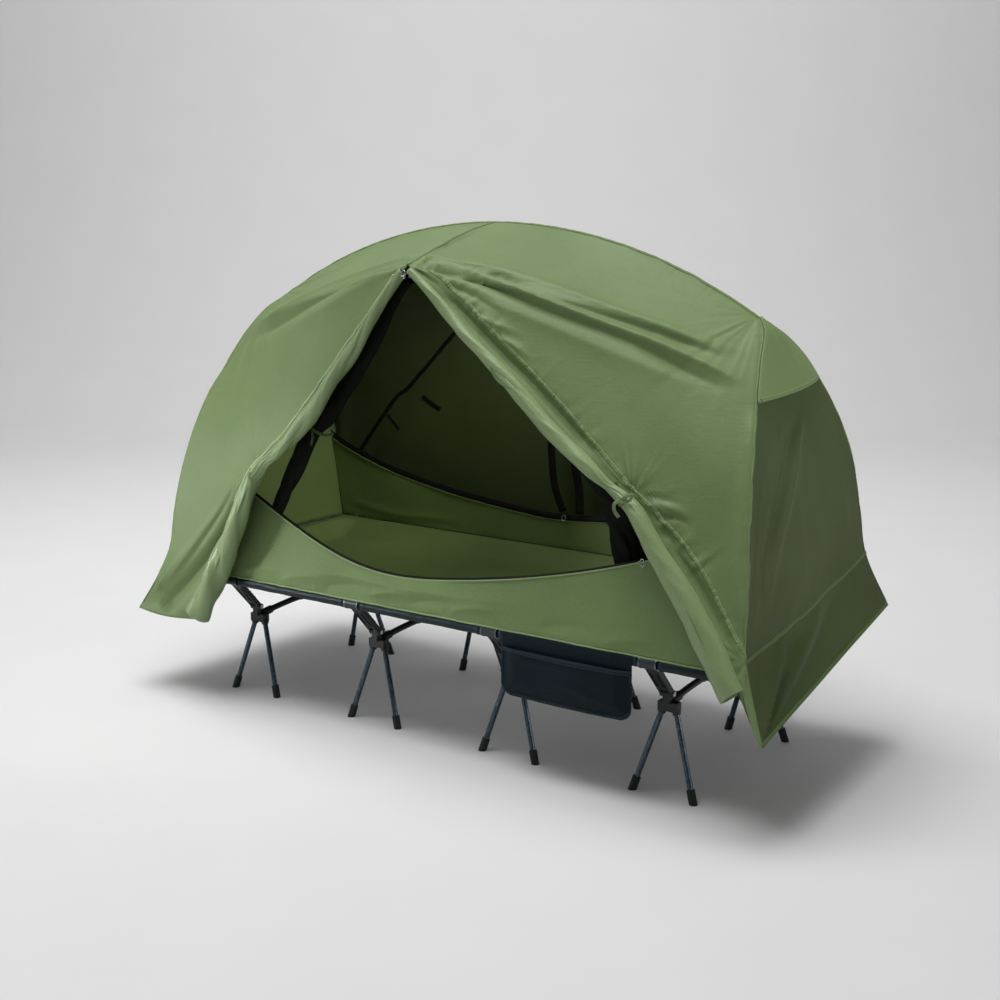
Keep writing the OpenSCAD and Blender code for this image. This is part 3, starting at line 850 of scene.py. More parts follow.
def front_wall(end):
    """One half of the fly's front, whose middle edge is the door's."""
    door = spline(DOOR_RIGHT if end > 0 else DOOR_LEFT, SEAM_PLACES)
    return half_wall(end, two_part(brow_line(-1, 200), door), seam_line(FRONT_SEAM, end),
                     (0, -0.012, -0.006), (0, -0.004, 0.012), 2 * FINE)


def back_wall(end):
    """One half of the fly's back, with its middle seam."""
    brow = brow_line(1, 200)
    drop = spline([brow[-1], (0, 0.425, 1.2), (0, 0.435, 0.8), (0, 0.452, 0.425)], 300)
    return half_wall(end, two_part(brow, drop), seam_line(BACK_SEAM, end),
                     (0, 0, 0.03), (0, 0.004, 0.012), FINE)


def end_wall(end):
    """The wall between two corner seams, with a skirt that flares to the hem."""
    front = seam_line(FRONT_SEAM, end)
    back = seam_line(BACK_SEAM, end)
    u = np.linspace(0, 1, END_COLS + 1)[:, None]
    top = np.repeat(front[:1], END_COLS + 1, axis=0)
    bottom = lerp(front[-1], back[-1], u) + np.sin(math.pi * u) * (end * 0.008, 0, 0.012)
    grid = coons(top, bottom, front, back)
    held = np.zeros(grid.shape[:2], bool)
    first = skirt_row(FRONT_SEAM, SKIRT_FRONT_Z)
    last = skirt_row(BACK_SEAM, SKIRT_BACK_Z)
    for c in range(1, END_COLS):
        share = c / END_COLS
        row = round(first + (last - first) * share)
        out = end * 0.012 * math.sin(math.pi * share)
        grid[row, c] = lerp(front[first], back[last], share) + (out, 0, 0)
        held[row, c] = True
    return refine(tauten(grid, held), FINE, FINE)


def skirt_seam(end):
    """The line where an end wall's skirt is sewn on."""
    a = seam_line(FRONT_SEAM, end)[skirt_row(FRONT_SEAM, SKIRT_FRONT_Z)]
    b = seam_line(BACK_SEAM, end)[skirt_row(BACK_SEAM, SKIRT_BACK_Z)]
    out = vec((end * 0.01, 0, 0))
    return [a, (2 * a + b) / 3 + out, (a + 2 * b) / 3 + out, b]


# The stitched line beside the rolled door's right half
STITCH_RIGHT = [
    (0.05, -0.39, 1.4), (0.113, -0.387, 1.36), (0.272, -0.378, 1.223), (0.504, -0.376, 1.029),
    (0.69, -0.384, 0.862), (0.775, -0.384, 0.796), (0.908, -0.382, 0.663), (1.028, -0.388, 0.46),
]
# The long folds: path, width, height, how soon each end fades, spread towards the far end, and sharpness
RIGHT_FOLDS = [
    # the upper pull, from the brow to the corner seam, and the valley under it
    ([(0.0, -0.345, 1.44), (0.2, -0.277, 1.389), (0.56, -0.213, 1.285), (0.86, -0.147, 1.182)],
     0.009, 0.012, (0.03, 0.15), 0.8, 1.15),
    ([(0.02, -0.36, 1.425), (0.087, -0.313, 1.409), (0.213, -0.294, 1.379), (0.33, -0.29, 1.34)],
     0.011, -0.014, (0.05, 0.5), 0.4, 1.5),
    ([(0.087, -0.313, 1.409), (0.213, -0.294, 1.379), (0.375, -0.293, 1.328), (0.573, -0.236, 1.268),
      (0.872, -0.144, 1.168)], 0.009, -0.012, (0.04, 0.2), 0.8, 1.4),
    # the lower pull and its deep valley
    ([(0.0, -0.37, 1.425), (0.122, -0.323, 1.396), (0.236, -0.328, 1.365), (0.47, -0.273, 1.282),
      (0.685, -0.213, 1.203), (0.909, -0.17, 1.113)], 0.009, 0.016, (0.03, 0.12), 1.0, 1.1),
    ([(0.02, -0.392, 1.41), (0.111, -0.367, 1.389), (0.198, -0.35, 1.365), (0.33, -0.31, 1.31)],
     0.012, -0.016, (0.05, 0.5), 0.4, 1.5),
    ([(0.05, -0.383, 1.402), (0.198, -0.35, 1.365), (0.38, -0.301, 1.289), (0.581, -0.248, 1.222),
      (0.804, -0.215, 1.128), (0.92, -0.178, 1.093)], 0.01, -0.015, (0.03, 0.25), 1.0, 1.4),
    ([(0.154, -0.379, 1.332), (0.379, -0.327, 1.258), (0.703, -0.249, 1.138), (0.85, -0.204, 1.11)],
     0.02, 0.006, (0.15, 0.25), 0.6, 1.3),
    # short folds between the pulls and the door's seam
    ([(0.113, -0.38, 1.35), (0.2, -0.37, 1.32), (0.3, -0.36, 1.27)], 0.01, -0.009, (0.1, 0.5), 1.0, 1.3),
    ([(0.28, -0.385, 1.22), (0.33, -0.383, 1.2), (0.4, -0.378, 1.16)], 0.008, 0.007, (0.2, 0.6), 0.5, 1.3),
    ([(0.2, -0.39, 1.27), (0.27, -0.386, 1.255), (0.36, -0.38, 1.235)], 0.008, 0.007, (0.2, 0.6), 0.5, 1.3),
    # dents beside the tie
    ([(0.718, -0.387, 0.836), (0.78, -0.369, 0.831), (0.848, -0.347, 0.818)],
     0.009, -0.006, (0.15, 0.6), 0, 1.7),
    ([(0.745, -0.39, 0.816), (0.799, -0.371, 0.811), (0.865, -0.35, 0.79)],
     0.011, 0.008, (0.2, 0.6), 0.5, 1.3),
    ([(0.765, -0.386, 0.78), (0.818, -0.363, 0.784), (0.865, -0.352, 0.765)],
     0.008, -0.007, (0.2, 0.5), 0, 1.8),
    ([(0.79, -0.39, 0.75), (0.84, -0.378, 0.7), (0.9, -0.375, 0.65)], 0.014, 0.006, (0.3, 0.4), 0, 1.3),
    # the corner pole under the cloth
    ([(0.94, -0.17, 1.07), (0.968, -0.286, 0.888), (1.003, -0.364, 0.603), (1.015, -0.377, 0.506)],
     0.017, 0.008, (0.15, 0.15), 0, 1.7),
    # the sunk strip between the roll and the seam, above and below the tie
    ([(0.1, -0.395, 1.34), (0.29, -0.385, 1.18), (0.4, -0.383, 1.095), (0.63, -0.388, 0.9)],
     0.013, -0.015, (0.1, 0.2), 0, 1.8),
    ([(0.78, -0.39, 0.775), (0.86, -0.388, 0.68), (0.94, -0.395, 0.58), (1.03, -0.41, 0.44)],
     0.013, -0.009, (0.1, 0.2), 0, 1.8),
]
LEFT_FOLDS = [
    ([(-0.03, -0.37, 1.43), (-0.16, -0.27, 1.425), (-0.5, -0.21, 1.325), (-0.86, -0.13, 1.175)],
     0.009, 0.012, (0.04, 0.15), 1.6, 1.3),
    ([(-0.05, -0.38, 1.405), (-0.2, -0.31, 1.372), (-0.54, -0.25, 1.263), (-0.9, -0.15, 1.125)],
     0.011, -0.015, (0.12, 0.25), 1.5, 1.4),
    ([(-0.09, -0.38, 1.375), (-0.221, -0.34, 1.333), (-0.448, -0.288, 1.245), (-0.654, -0.239, 1.16)],
     0.03, 0.009, (0.15, 0.3), 0.6, 1.3),
    # the skirt's folds beside the hanging end of the door
    ([(-0.66, -0.4, 0.76), (-0.8, -0.405, 0.6), (-0.93, -0.42, 0.45), (-1.06, -0.44, 0.3)],
     0.03, 0.012, (0.1, 0.2), 0.6, 1.3),
    ([(-0.68, -0.4, 0.68), (-0.741, -0.405, 0.576), (-0.847, -0.416, 0.45), (-1.02, -0.445, 0.28)],
     0.02, -0.028, (0.1, 0.06), 0.7, 1.6),
    ([(-0.7, -0.4, 0.72), (-0.82, -0.405, 0.56), (-0.95, -0.425, 0.41), (-1.08, -0.44, 0.29)],
     0.013, -0.011, (0.1, 0.1), 1.2, 1.5),
]
# The folds of the right end wall; the left one has their mirror images
END_FOLDS = [
    ([(0.957, 0.087, 1.03), (0.976, -0.002, 0.944), (1.0, -0.084, 0.823), (1.02, -0.201, 0.685),
      (1.03, -0.29, 0.53)], 0.02, 0.012, (0.2, 0.3), 0.4, 1.7),
    ([(0.958, 0.04, 1.03), (0.976, -0.05, 0.944), (1.0, -0.134, 0.823), (1.02, -0.241, 0.685),
      (1.03, -0.32, 0.53)], 0.018, -0.01, (0.2, 0.3), 0.3, 1.7),
    ([(0.958, -0.058, 1.03), (0.973, -0.11, 0.958), (0.999, -0.203, 0.815), (1.022, -0.278, 0.7),
      (1.03, -0.35, 0.5)], 0.016, 0.01, (0.2, 0.3), 0, 1.7),
    ([(0.98, -0.17, 0.97), (1.003, -0.25, 0.8), (1.025, -0.33, 0.6)], 0.014, -0.008, (0.3, 0.3)),
    ([(0.99, 0.2, 1.0), (1.02, 0.27, 0.8), (1.03, 0.3, 0.62)], 0.03, 0.006, (0.3, 0.3)),
]


def wall_seams(folds, end, corner, side, reach, seeds):
    """The puckers that a long wall's corner seam, ridge seam and middle seam pull into it."""
    folds.puckers(mirrored(corner, end), 0.03, reach, 0.0016, seeds[0])
    folds.puckers(mirrored(ridge_line(12), end), 0.022, 0.05, 0.0022, 9)
    folds.puckers(brow_line(side, 8), 0.016, 0.04, 0.002, seeds[1])


def front_folds(grid, end):
    """The folds of one front wall: long pulls from the brow, and puckers along its seams."""
    folds = Folds(grid, (0.3 * end, -1, 0.6))
    for fold in RIGHT_FOLDS if end > 0 else LEFT_FOLDS:
        folds.ridge(*fold)
    if end > 0:
        folds.puckers(STITCH_RIGHT, 0.019, 0.03, 0.0034, 3)
        folds.puckers(vec(STITCH_RIGHT[:-1]) + (0.018, 0, 0.014), 0.034, 0.05, 0.003, 4)
        folds.fan((0.71, -0.395, 0.84), 0.1, 0.0025, 30, 5, toward=(1.0, -0.3, 0.9))
        folds.fan((1.03, -0.39, 0.46), 0.2, 0.003, 30, 6, toward=(0.9, -0.4, 0.9))
    else:
        folds.puckers(DOOR_LEFT, 0.022, 0.045, 0.0022, 13)
        folds.fan((-0.62, -0.4, 0.79), 0.12, 0.003, 30, 15, toward=(-1.0, -0.3, 0.9))
        folds.fan((-0.99, -0.2, 0.95), 0.12, 0.003, 30, 18, toward=(-0.8, -0.3, 0.95))
        folds.fan((-1.11, -0.45, 0.27), 0.3, 0.003, 30, 16, toward=(-0.8, -0.4, 0.8))
    wall_seams(folds, end, FRONT_SEAM, -1, 0.035, (7, 11))
    beside_middle = mirrored([(0.03, -0.1, 1.505), (0.02, -0.2, 1.478), (0.012, -0.3, 1.44)], end)
    folds.ridge(beside_middle, 0.009, -0.006, fade=(0.3, 0.3))
    folds.fan(BROW_TIP, 0.09, 0.0045, 44, 12, toward=(end * 0.8, -0.3, 1.2))
    folds.fan(mirrored(SHOULDER, end), 0.25, 0.004, 44, 14, toward=(0, -0.4, 1.3))
    folds.billow(0.5, 0.0035, 21)
    folds.billow(0.17, 0.0012, 22)
    return folds.done()


def back_folds(grid, end):
    """The folds of one back wall: long pulls from the cross pole's tip, and puckers along its seams."""
    folds = Folds(grid, (0.3 * end, 1, 0.6))
    tip = BROW_TIP * (1, -1, 1)
    pulls = (((0.45, 0.36, 1.31), (0.92, 0.14, 1.17), 0.02, 0.01),
             ((0.45, 0.38, 1.24), (0.94, 0.2, 1.09), 0.026, 0.009),
             ((0.45, 0.41, 1.0), (0.98, 0.34, 0.9), 0.032, 0.006))
    for middle, last, width, height in pulls:
        folds.ridge(mirrored([tip, middle, last], end), width, height, fade=(0.1, 0.2), spread=1)
    wall_seams(folds, end, BACK_SEAM, 1, 0.04, (31, 33))
    folds.fan(tip, 0.25, 0.005, 30, 34, toward=(end * 0.8, 0.4, 1.1))
    folds.fan(mirrored(BACK_SEAM[-1], end), 0.45, 0.009, 30, 35, toward=(0, 0.4, 0.9))
    folds.streaks((0.1, 0, 1), 0.11, 0.5, 0.0025, 36)
    folds.billow(0.5, 0.004, 37)
    return folds.done()


def end_folds(grid, end):
    """Soft upright folds in an end wall, and folds that spread from the skirt's corner."""
    folds = Folds(grid, (end, 0, 0.2))
    for path, *look in END_FOLDS:
        folds.ridge(mirrored(path, end), *look)
    corner = vec((HEM_X, -HEM_Y, HEM_LOW))
    for at, height in (((1.06, -0.2, 0.47), 0.0165), ((1.07, -0.05, 0.5), -0.015),
                       ((1.06, 0.08, 0.52), 0.0135), ((1.05, 0.24, 0.54), -0.009)):
        path = mirrored([corner, (corner + vec(at)) / 2, at], end)
        folds.ridge(path, 0.015, height, fade=(0.06, 0.2), spread=1.2)
    folds.puckers(skirt_seam(end), 0.02, 0.028, 0.0018, 41)
    folds.puckers(mirrored(FRONT_SEAM, end), 0.03, 0.03, 0.0014, 42)
    folds.puckers(mirrored(BACK_SEAM, end), 0.03, 0.03, 0.0014, 43)
    folds.fan(mirrored(corner, end), 0.4, 0.006, 40, 44, toward=(end * 1.03, 0.1, 0.8))
    folds.streaks((0, 0, 1), 0.08, 0.4, 0.0018, 45)
    folds.billow(0.45, 0.004, 46)
    return folds.done()


def rainfly():
    """One continuous sheet over the poles, and a tree for laying seams on it."""
    grids = []
    for end in (-1, 1):
        grids += [front_folds(front_wall(end), end), back_folds(back_wall(end), end),
                  end_folds(end_wall(end), end)]
    # the faces of mirrored walls point the other way
    flips = [False, True, True, True, False, False]
    fly = cloth("rainfly", grids, "fly_cloth", FLY, FLY_INSIDE_SHADED, away_from=(0, 0, 0.7), node="fly_sheet",
                flips=flips)
    return fly, tree_of(grids)


def fly_seams(tree):
    """Felled seams, hems and the placket, sewn on the rainfly."""
    flat = {"lift": 0.0006, "crown": 0.0006}
    proud = {"lift": 0.0014, "crown": 0.0006}
    for end in (-1, 1):
        side = side_name(end)
        front = mirrored(FRONT_SEAM, end)
        back = mirrored(BACK_SEAM, end)
        tape(f"corner_seam_front_{side}", front, 0.011, tree, (end, -0.6, 0.3), SEAM, lump=0.3, seed=51,
             count=260, **flat)
        tape(f"corner_seam_back_{side}", back, 0.011, tree, (end, 0.6, 0.3), SEAM, lump=0.3, seed=52,
             count=260, **flat)
        # the end walls' seam and hem tape is painted darker, as shade
        tape(f"skirt_seam_{side}", skirt_seam(end), 0.0105, tree, (end, 0, 0.2), SKIRT_SEAM_SHADED, lump=0.4,
             seed=53, **proud)
        hem = [front[-1] + (0, 0.004, 0.006), (front[-1] + back[-1]) / 2 + (end * 0.008, 0, 0.018),
               back[-1] + (0, -0.004, 0.006)]
        tape(f"hem_end_{side}", hem, 0.014, tree, (end, 0, -0.1), SKIRT_SEAM_SHADED, lump=0.3, seed=54, **proud)
    tape("door_seam_right", STITCH_RIGHT, 0.0125, tree, (0.2, -1, 0.4), PUCKER, lump=0.5, seed=55,
         lift=0.001, crown=0.0006, count=320)
    half = ridge_line(9)
    tape("ridge_seam", [*mirrored(half[:0:-1], -1), *half], 0.016, tree, (0, 0, 1), SEAM, lump=0.7, seed=57,
         count=300)
    tape("brow_seam_front", brow_line(-1, 7), 0.014, tree, (0, -0.3, 1), SEAM, lump=0.8, seed=58, count=90)
    middle = [*brow_line(1, 7), (0, 0.425, 1.2), (0, 0.435, 0.8), (0, 0.45, 0.45)]
    tape("back_seam_middle", middle, 0.014, tree, (0, 1, 0.5), SEAM, lump=0.8, seed=59, count=240)


def vent_hood(end):
    """A triangular hood over the top of an end wall, standing proud along its lower edge."""
    rows = 40
    dense = 800
    sides = []
    for points, foot in ((FRONT_SEAM, 1.066), (BACK_SEAM, 1.1)):
        seam = spline(points, SEAM_PLACES)
        share = np.argmin(np.abs(seam[:, 2] - foot)) / (SEAM_PLACES - 1)
        stop = int(share * (dense - 1))
        sides.append(evenly(evenly(seam, dense)[:stop + 1], rows)[:, None])
    t = np.linspace(0, 1, rows)[:, None]
    u = np.linspace(0, 1, rows)
    middle = np.sin(math.pi * u) ** 0.8
    proud = middle * (0.006 + 0.03 * t ** 1.5)
    raised = grid_of(proud + 0.0025, 0, proud * 0.35 + 0.001 - 0.01 * t * middle)
    folds = Folds(mirrored(lerp(*sides, u[:, None]) + raised, end), (end, 0, 0.6))
    folds.billow(0.15, 0.002, 171)
    folds.fan(mirrored(SHOULDER, end), 0.2, 0.003, 30, 172, toward=(end * 0.95, 0, 1.0))
    grid = folds.done()
    hood = cloth(f"vent_hood_{side_name(end)}", [grid], "fly_cloth", FLY, FLY_INSIDE_SHADED, away_from=(0, 0, 1.0))
    tape(f"vent_hood_hem_{side_name(end)}", grid[-2][1:-1:5], 0.0105, tree_of([grid]), (end, 0, 0.4), SEAM,
         on=hood.name, lump=0.5, seed=173, count=80)


# ---------------------------------------------------------------- carried-over nodes

def finish_nodes():
    """A procedural material for every CAD node that stays visible."""
    materials = {
        "front_rail": RAIL_METAL, "back_rail": RAIL_METAL, "end_bars": RAIL_METAL, "corner_caps": BLACK,
        "rail_clamps": CLAMP, "clamp_rings": RING_METAL, "crossbars": BLACK, "crossbar_ferrules": BLACK,
        "leg_hubs": BLACK, "hub_pins": BRIGHT, "ridge_pole": POLE_METAL, "cross_pole": POLE_METAL,
        "corner_poles": POLE_METAL, "pole_hubs": BLACK, "lever": BLACK, "leg": LEG_METAL, "foot": RUBBER,
    }
    for name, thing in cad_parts.items():
        material = materials.get(name) or materials.get(name.split("_")[0])
        if material is not None:
            dress(thing, material)


# ---------------------------------------------------------------- rolled doors and ties

# The two kinds of roll: slot, material, the node it stands for and the piece it rests on
# the rolled door's lighter colour is painted light
DOOR_CLOTH = ("fly_cloth", ROLL_LIT, "door_rolls", "rainfly")
MESH_CLOTH = ("mesh", NET, "mesh_rolls", "tent_tub")


def rolled_cloth(name, kind, path, radii, turns, seed, tie, count, crease, sides=40, depth=(1.0, 1.0)):
    """Cloth rolled up lengthwise: a spiral swept along a line, creased, and drawn in where it is tied.

    tie is the share of the line at the tie, and how much of the roll's width is left there.
    depth is how thick the roll is against its width, at its start and at its end."""
    gap = 0.0032
    line = spline(path, count)
    u, v = (across[:, None] for across in frames_along(line, up=(0, 1, 0)))
    share = np.linspace(0, 1, count)[:, None]
    far = (share - tie[0]) * count
    outer = np.interp(share, np.linspace(0, 1, len(radii)), radii)
    squeeze = 1 - (1 - tie[1]) * np.exp(-(far / 7.0) ** 2)
    gather = np.exp(-(far / 16.0) ** 2)
    angle = np.linspace(0, turns * 2 * math.pi, int(sides * turns) + 1)
    length = np.linalg.norm(line[-1] - line[0])
    twist = angle + 2.2 * share
    creases = (waves(twist * 0.8 + share * length * 9 + 50, seed)
               + 0.6 * waves(twist * 1.9 + share * length * 22 + 90, seed + 1))
    gathers = np.sin(twist * 9 + 4 * waves(share * 30, seed + 2)) * gather
    winding = outer * squeeze - gap * (turns - angle / (2 * math.pi))
    radius = np.maximum(winding + crease * creases + 0.0016 * gathers, 0.0025)
    turn = (angle + 0.9 + 0.5 * share)[..., None]
    offset = radius[..., None] * (np.cos(turn) * u + np.sin(turn) * v)
    offset[..., 1] *= lerp(*depth, share)
    wobble_u = 0.0022 * waves(share * length * 7 + 9, seed + 3)[..., None]
    wobble_v = 0.0022 * waves(share * length * 7 + 60, seed + 4)[..., None]
    grid = line[:, None] + u * wobble_u + v * wobble_v + offset
    piece = make_mesh(name, grid.reshape(-1, 3), grid_faces(*grid.shape[:2]))
    thicken(piece, THIN_CLOTH)
    slot, material, node, on = kind
    add(piece, slot, material)
    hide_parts(node)


def band(name, centre, along, radius, width, seed):
    """A tie wound once round something, lying in slight ripples."""
    thick = 0.0016
    along = unit(vec(along))
    u = unit(np.cross(along, vec((0.1, 1, 0.3))))
    cos, sin = circle(64)
    out = (cos * u + sin * np.cross(along, u))[:, None]
    ripple = 0.0007 * waves(np.arange(64) / 6.0, seed)[:, None, None]
    middle = vec(centre) + (radius + ripple) * out
    cos, sin = circle(8)
    return closed_ring(name, middle + cos * width / 2 * along + sin * thick * out)


# A strap's cross-section: shares of half its width, and of half its thickness
STRAP_EDGE = np.array([(-1, 0), (-0.9, 1), (-0.3, 1.1), (0.3, 1.1), (0.9, 1),
                       (1, 0), (0.9, -1), (0.3, -1.1), (-0.3, -1.1), (-0.9, -1)])


def strap(name, path, width, out=(0, -1, 0.2), thick=0.0018, count=60, seed=1):
    """A flat woven strap along a path, facing out."""
    line = spline(path, count)
    step = unit(np.gradient(line, axis=0))
    side = unit(np.cross(step, vec(out)))
    face = np.cross(side, step)
    along = np.linspace(0, steps_of(line).sum(), count)
    across = STRAP_EDGE[:, 0] * width / 2
    height = STRAP_EDGE[:, 1] * thick / 2 + 0.0006 * waves(along / 0.03, seed)[:, None]
    rings = line[:, None] + side[:, None] * across[:, None] + face[:, None] * height[..., None]
    piece = capped_bar(name, rings)
    lay_uv(piece, across, along)
    return piece


def ring_mesh(name, centre, axis, radius, wire, stretch=1.0):
    """A closed wire ring round an axis."""
    axis = unit(vec(axis))
    up = vec((0, 0, 1))
    u = unit(up - axis * (axis @ up))
    cos, sin = circle(40)
    out = (cos * u * stretch + sin * np.cross(axis, u))[:, None]
    cos, sin = circle(10)
    return closed_ring(name, vec(centre) + radius * out + wire * (cos * unit(out) + sin * axis))


ROLL_RIGHT = [
    (0.006, -0.408, 1.388), (0.092, -0.41, 1.316), (0.176, -0.41, 1.24), (0.308, -0.41, 1.128),
    (0.467, -0.41, 0.993), (0.6, -0.412, 0.888), (0.7, -0.414, 0.824), (0.745, -0.424, 0.788),
    (0.8, -0.43, 0.712), (0.847, -0.432, 0.65), (0.896, -0.434, 0.584), (0.948, -0.436, 0.505),
    (1.018, -0.44, 0.395), (1.03, -0.441, 0.378),
]
RIGHT_RADII = (0.009, 0.013, 0.016, 0.019, 0.021, 0.021, 0.016, 0.025, 0.031, 0.036, 0.036)
ROLL_LEFT = [
    (-0.022, -0.408, 1.385), (-0.098, -0.41, 1.288), (-0.21, -0.41, 1.156), (-0.328, -0.41, 1.018),
    (-0.452, -0.41, 0.888), (-0.575, -0.41, 0.79), (-0.622, -0.414, 0.72), (-0.672, -0.424, 0.61),
    (-0.735, -0.43, 0.49), (-0.8, -0.434, 0.37), (-0.855, -0.438, 0.283),
]
LEFT_RADII = (0.011, 0.016, 0.02, 0.024, 0.026, 0.024, 0.024, 0.03, 0.035, 0.038, 0.038)
LEFT_TIE = 0.56
MESH_LEFT = [
    (-0.046, -0.352, 1.366), (-0.08, -0.35, 1.332), (-0.137, -0.348, 1.26), (-0.208, -0.345, 1.163),
    (-0.302, -0.343, 1.037), (-0.374, -0.342, 0.947), (-0.434, -0.34, 0.886), (-0.5, -0.338, 0.79),
    (-0.565, -0.336, 0.685), (-0.592, -0.335, 0.638),
]
MESH_LEFT_RADII = (0.022, 0.03, 0.032, 0.034, 0.036, 0.032, 0.03, 0.026)
MESH_RIGHT = [
    (0.03, -0.36, 1.345), (0.2, -0.358, 1.2), (0.36, -0.355, 1.07), (0.47, -0.345, 0.975),
    (0.55, -0.315, 0.9), (0.6, -0.285, 0.8), (0.63, -0.275, 0.7), (0.65, -0.272, 0.63),
]
MESH_RIGHT_RADII = (0.01, 0.012, 0.016, 0.022, 0.034, 0.046, 0.05, 0.052)


def door_rolls():
    """The fly's door and the inner door's netting, rolled back along both edges of the opening."""
    rolled_cloth("door_roll_right", DOOR_CLOTH, ROLL_RIGHT, RIGHT_RADII, 1.35, 61, (0.572, 0.6), 260, 0.0034)
    rolled_cloth("door_roll_left", DOOR_CLOTH, ROLL_LEFT, LEFT_RADII, 1.35, 71, (LEFT_TIE, 0.72), 240, 0.0048)
    # the piping runs along the left roll's outer edge, drawn in with it at the tie; its pale colour is a
    # painted highlight along the door's edge
    share = np.linspace(0, 1, 240)
    radius = np.interp(share, np.linspace(0, 1, len(LEFT_RADII)), LEFT_RADII)
    radius = radius * (1.04 - 0.25 * np.exp(-((share - LEFT_TIE) * 34) ** 2)) + 0.002
    wander = grid_of(*(waves(share * 60 + start, seed) for start, seed in ((40, 62), (70, 63), (20, 64))))
    pipe = spline(ROLL_LEFT, 240) + radius[:, None] * (-0.7, -0.45, 0.56) + 0.0014 * wander
    piping("door_piping_left", pipe[4:168], 0.0028, PIPING_HIGHLIGHT, slot="fly_cloth")
    rolled_cloth("mesh_roll_left", MESH_CLOTH, MESH_LEFT, MESH_LEFT_RADII, 1.6, 81, (0.63, 0.72), 170,
                 0.005, sides=36, depth=(0.35, 0.4))
    rolled_cloth("mesh_roll_right", MESH_CLOTH, MESH_RIGHT, MESH_RIGHT_RADII, 1.6, 91, (0.9, 0.85), 170,
                 0.009, sides=36, depth=(0.7, 0.8))


def door_tie(name, knot, bands, tails):
    """Bands wound round a rolled door, and the tape's tails; their places are measured from the knot."""
    knot = vec(knot)
    parts = [band("band", knot + at, *look) for at, *look in bands]
    parts += [strap("tail", knot + path, width, seed=seed) for path, width, seed in tails]
    add(join(name, parts), "fly_cloth", SEAM)


def ties():
    """The ties that hold the rolled doors, and the small loop beside the right one."""
    door_tie("door_tie_right", (0.697, -0.416, 0.824), [
        ((0, 0, 0), (0.8, 0, -0.6), 0.0165, 0.011, 101),
        ((0.003, -0.001, 0.004), (0.9, 0.2, -0.3), 0.0172, 0.008, 102),
    ], [
        ([(0, -0.018, 0.004), (0.016, -0.026, 0.016), (0.034, -0.018, 0.022), (0.028, -0.022, 0.008),
          (0.004, -0.024, 0)], 0.008, 103),
        ([(0, -0.018, 0.004), (-0.012, -0.026, -0.004), (-0.012, -0.026, -0.022), (0, -0.024, -0.038)],
         0.01, 110),
    ])
    door_tie("door_tie_left", (-0.606, -0.412, 0.768), [
        ((0, 0, 0), (-0.6, 0, -0.8), 0.0185, 0.011, 104),
        ((-0.004, 0, -0.004), (-0.9, 0.1, -0.5), 0.0185, 0.008, 105),
    ], [
        ([(0, -0.02, 0.002), (-0.004, -0.026, -0.012), (0.004, -0.022, -0.03)], 0.009, 106),
    ])
    loop = [(0.29, -0.428, 1.141), (0.3, -0.432, 1.124), (0.32, -0.433, 1.104), (0.346, -0.432, 1.092),
            (0.368, -0.426, 1.09)]
    add(strap("door_loop", loop, 0.005, (0, -1, 0.3), seed=107), "fly_cloth", SEAM)
    tie = [(-0.432, -0.362, 0.938), (-0.419, -0.37, 0.919), (-0.39, -0.372, 0.904), (-0.358, -0.368, 0.895),
           (-0.338, -0.352, 0.9)]
    add(strap("mesh_tie_left", tie, 0.009, seed=108), "tent_cloth", TENT_SEAM)
    tail = [(-0.405, -0.372, 0.91), (-0.4, -0.376, 0.885), (-0.408, -0.375, 0.862)]
    add(strap("mesh_tie_tail", tail, 0.008, seed=109), "tent_cloth", TENT_SEAM)


# ---------------------------------------------------------------- inner tent

# The upper edges of the front and back walls: place along the bed, and height
FRONT_RIM = [
    (-0.94, 0.772), (-0.8, 0.722), (-0.646, 0.658), (-0.505, 0.598), (-0.383, 0.553), (-0.264, 0.521),
    (-0.14, 0.506), (0.0, 0.51), (0.179, 0.533), (0.365, 0.566), (0.557, 0.611), (0.737, 0.665),
    (0.94, 0.735),
]
BACK_RIM = [
    (-0.94, 0.775), (-0.841, 0.722), (-0.68, 0.66), (-0.546, 0.626), (-0.416, 0.6), (-0.247, 0.577),
    (-0.085, 0.562), (0.014, 0.56), (0.166, 0.571), (0.4, 0.6), (0.68, 0.66), (0.94, 0.75),
]
# How far each long wall leans in at its ends
FRONT_LEAN = 0.05
BACK_LEAN = 0.075
TUB_END = 0.935
TUB_Y = HALF_W - 0.014
PANEL_LOW = RAIL_Z + SLEEVE_R * 0.85
PANEL_OUT = HALF_W + SLEEVE_R * 0.55
# How far the floor's cloth curves up to its seams with the walls, and over what width
SEAM_RISE = 0.05
COVE = 0.085
SEAM_Z = FLOOR_Z + SEAM_RISE
# The end walls: how far they narrow up to the rim, where that is, half their tips' width, and their height
END_NARROW = 0.072
END_RIM_SHARE = 0.55
END_TIP = 0.125
END_TALL = 0.6


def leaning(x, side, lean):
    """Where the top of a long wall is across the bed, at a place along it."""
    return side * (TUB_Y - lean * np.clip(np.abs(x) / TUB_END, 0, 1) ** 2)


def rim_trim(rim, side, lean):
    """The line of a rim, for its binding and its piping."""
    return spline([(x, leaning(x, side, lean), z) for x, z in rim], 160)


def tub_wall(rim, side, lean, rows, cols):
    """A long wall of the inner tent, from its foot up to its rim."""
    top = spline([(x, 0, z) for x, z in rim], cols)
    top[:, 1] = leaning(top[:, 0], side, lean)
    top[:, 0] = np.clip(top[:, 0], -TUB_END, TUB_END)
    foot_y, foot_z = (PANEL_OUT, PANEL_LOW) if side < 0 else (TUB_Y, SEAM_Z)
    foot = grid_of(top[:, 0], side * foot_y, foot_z)
    return lerp(foot[None], top[None], np.linspace(0, 1, rows)[:, None, None])


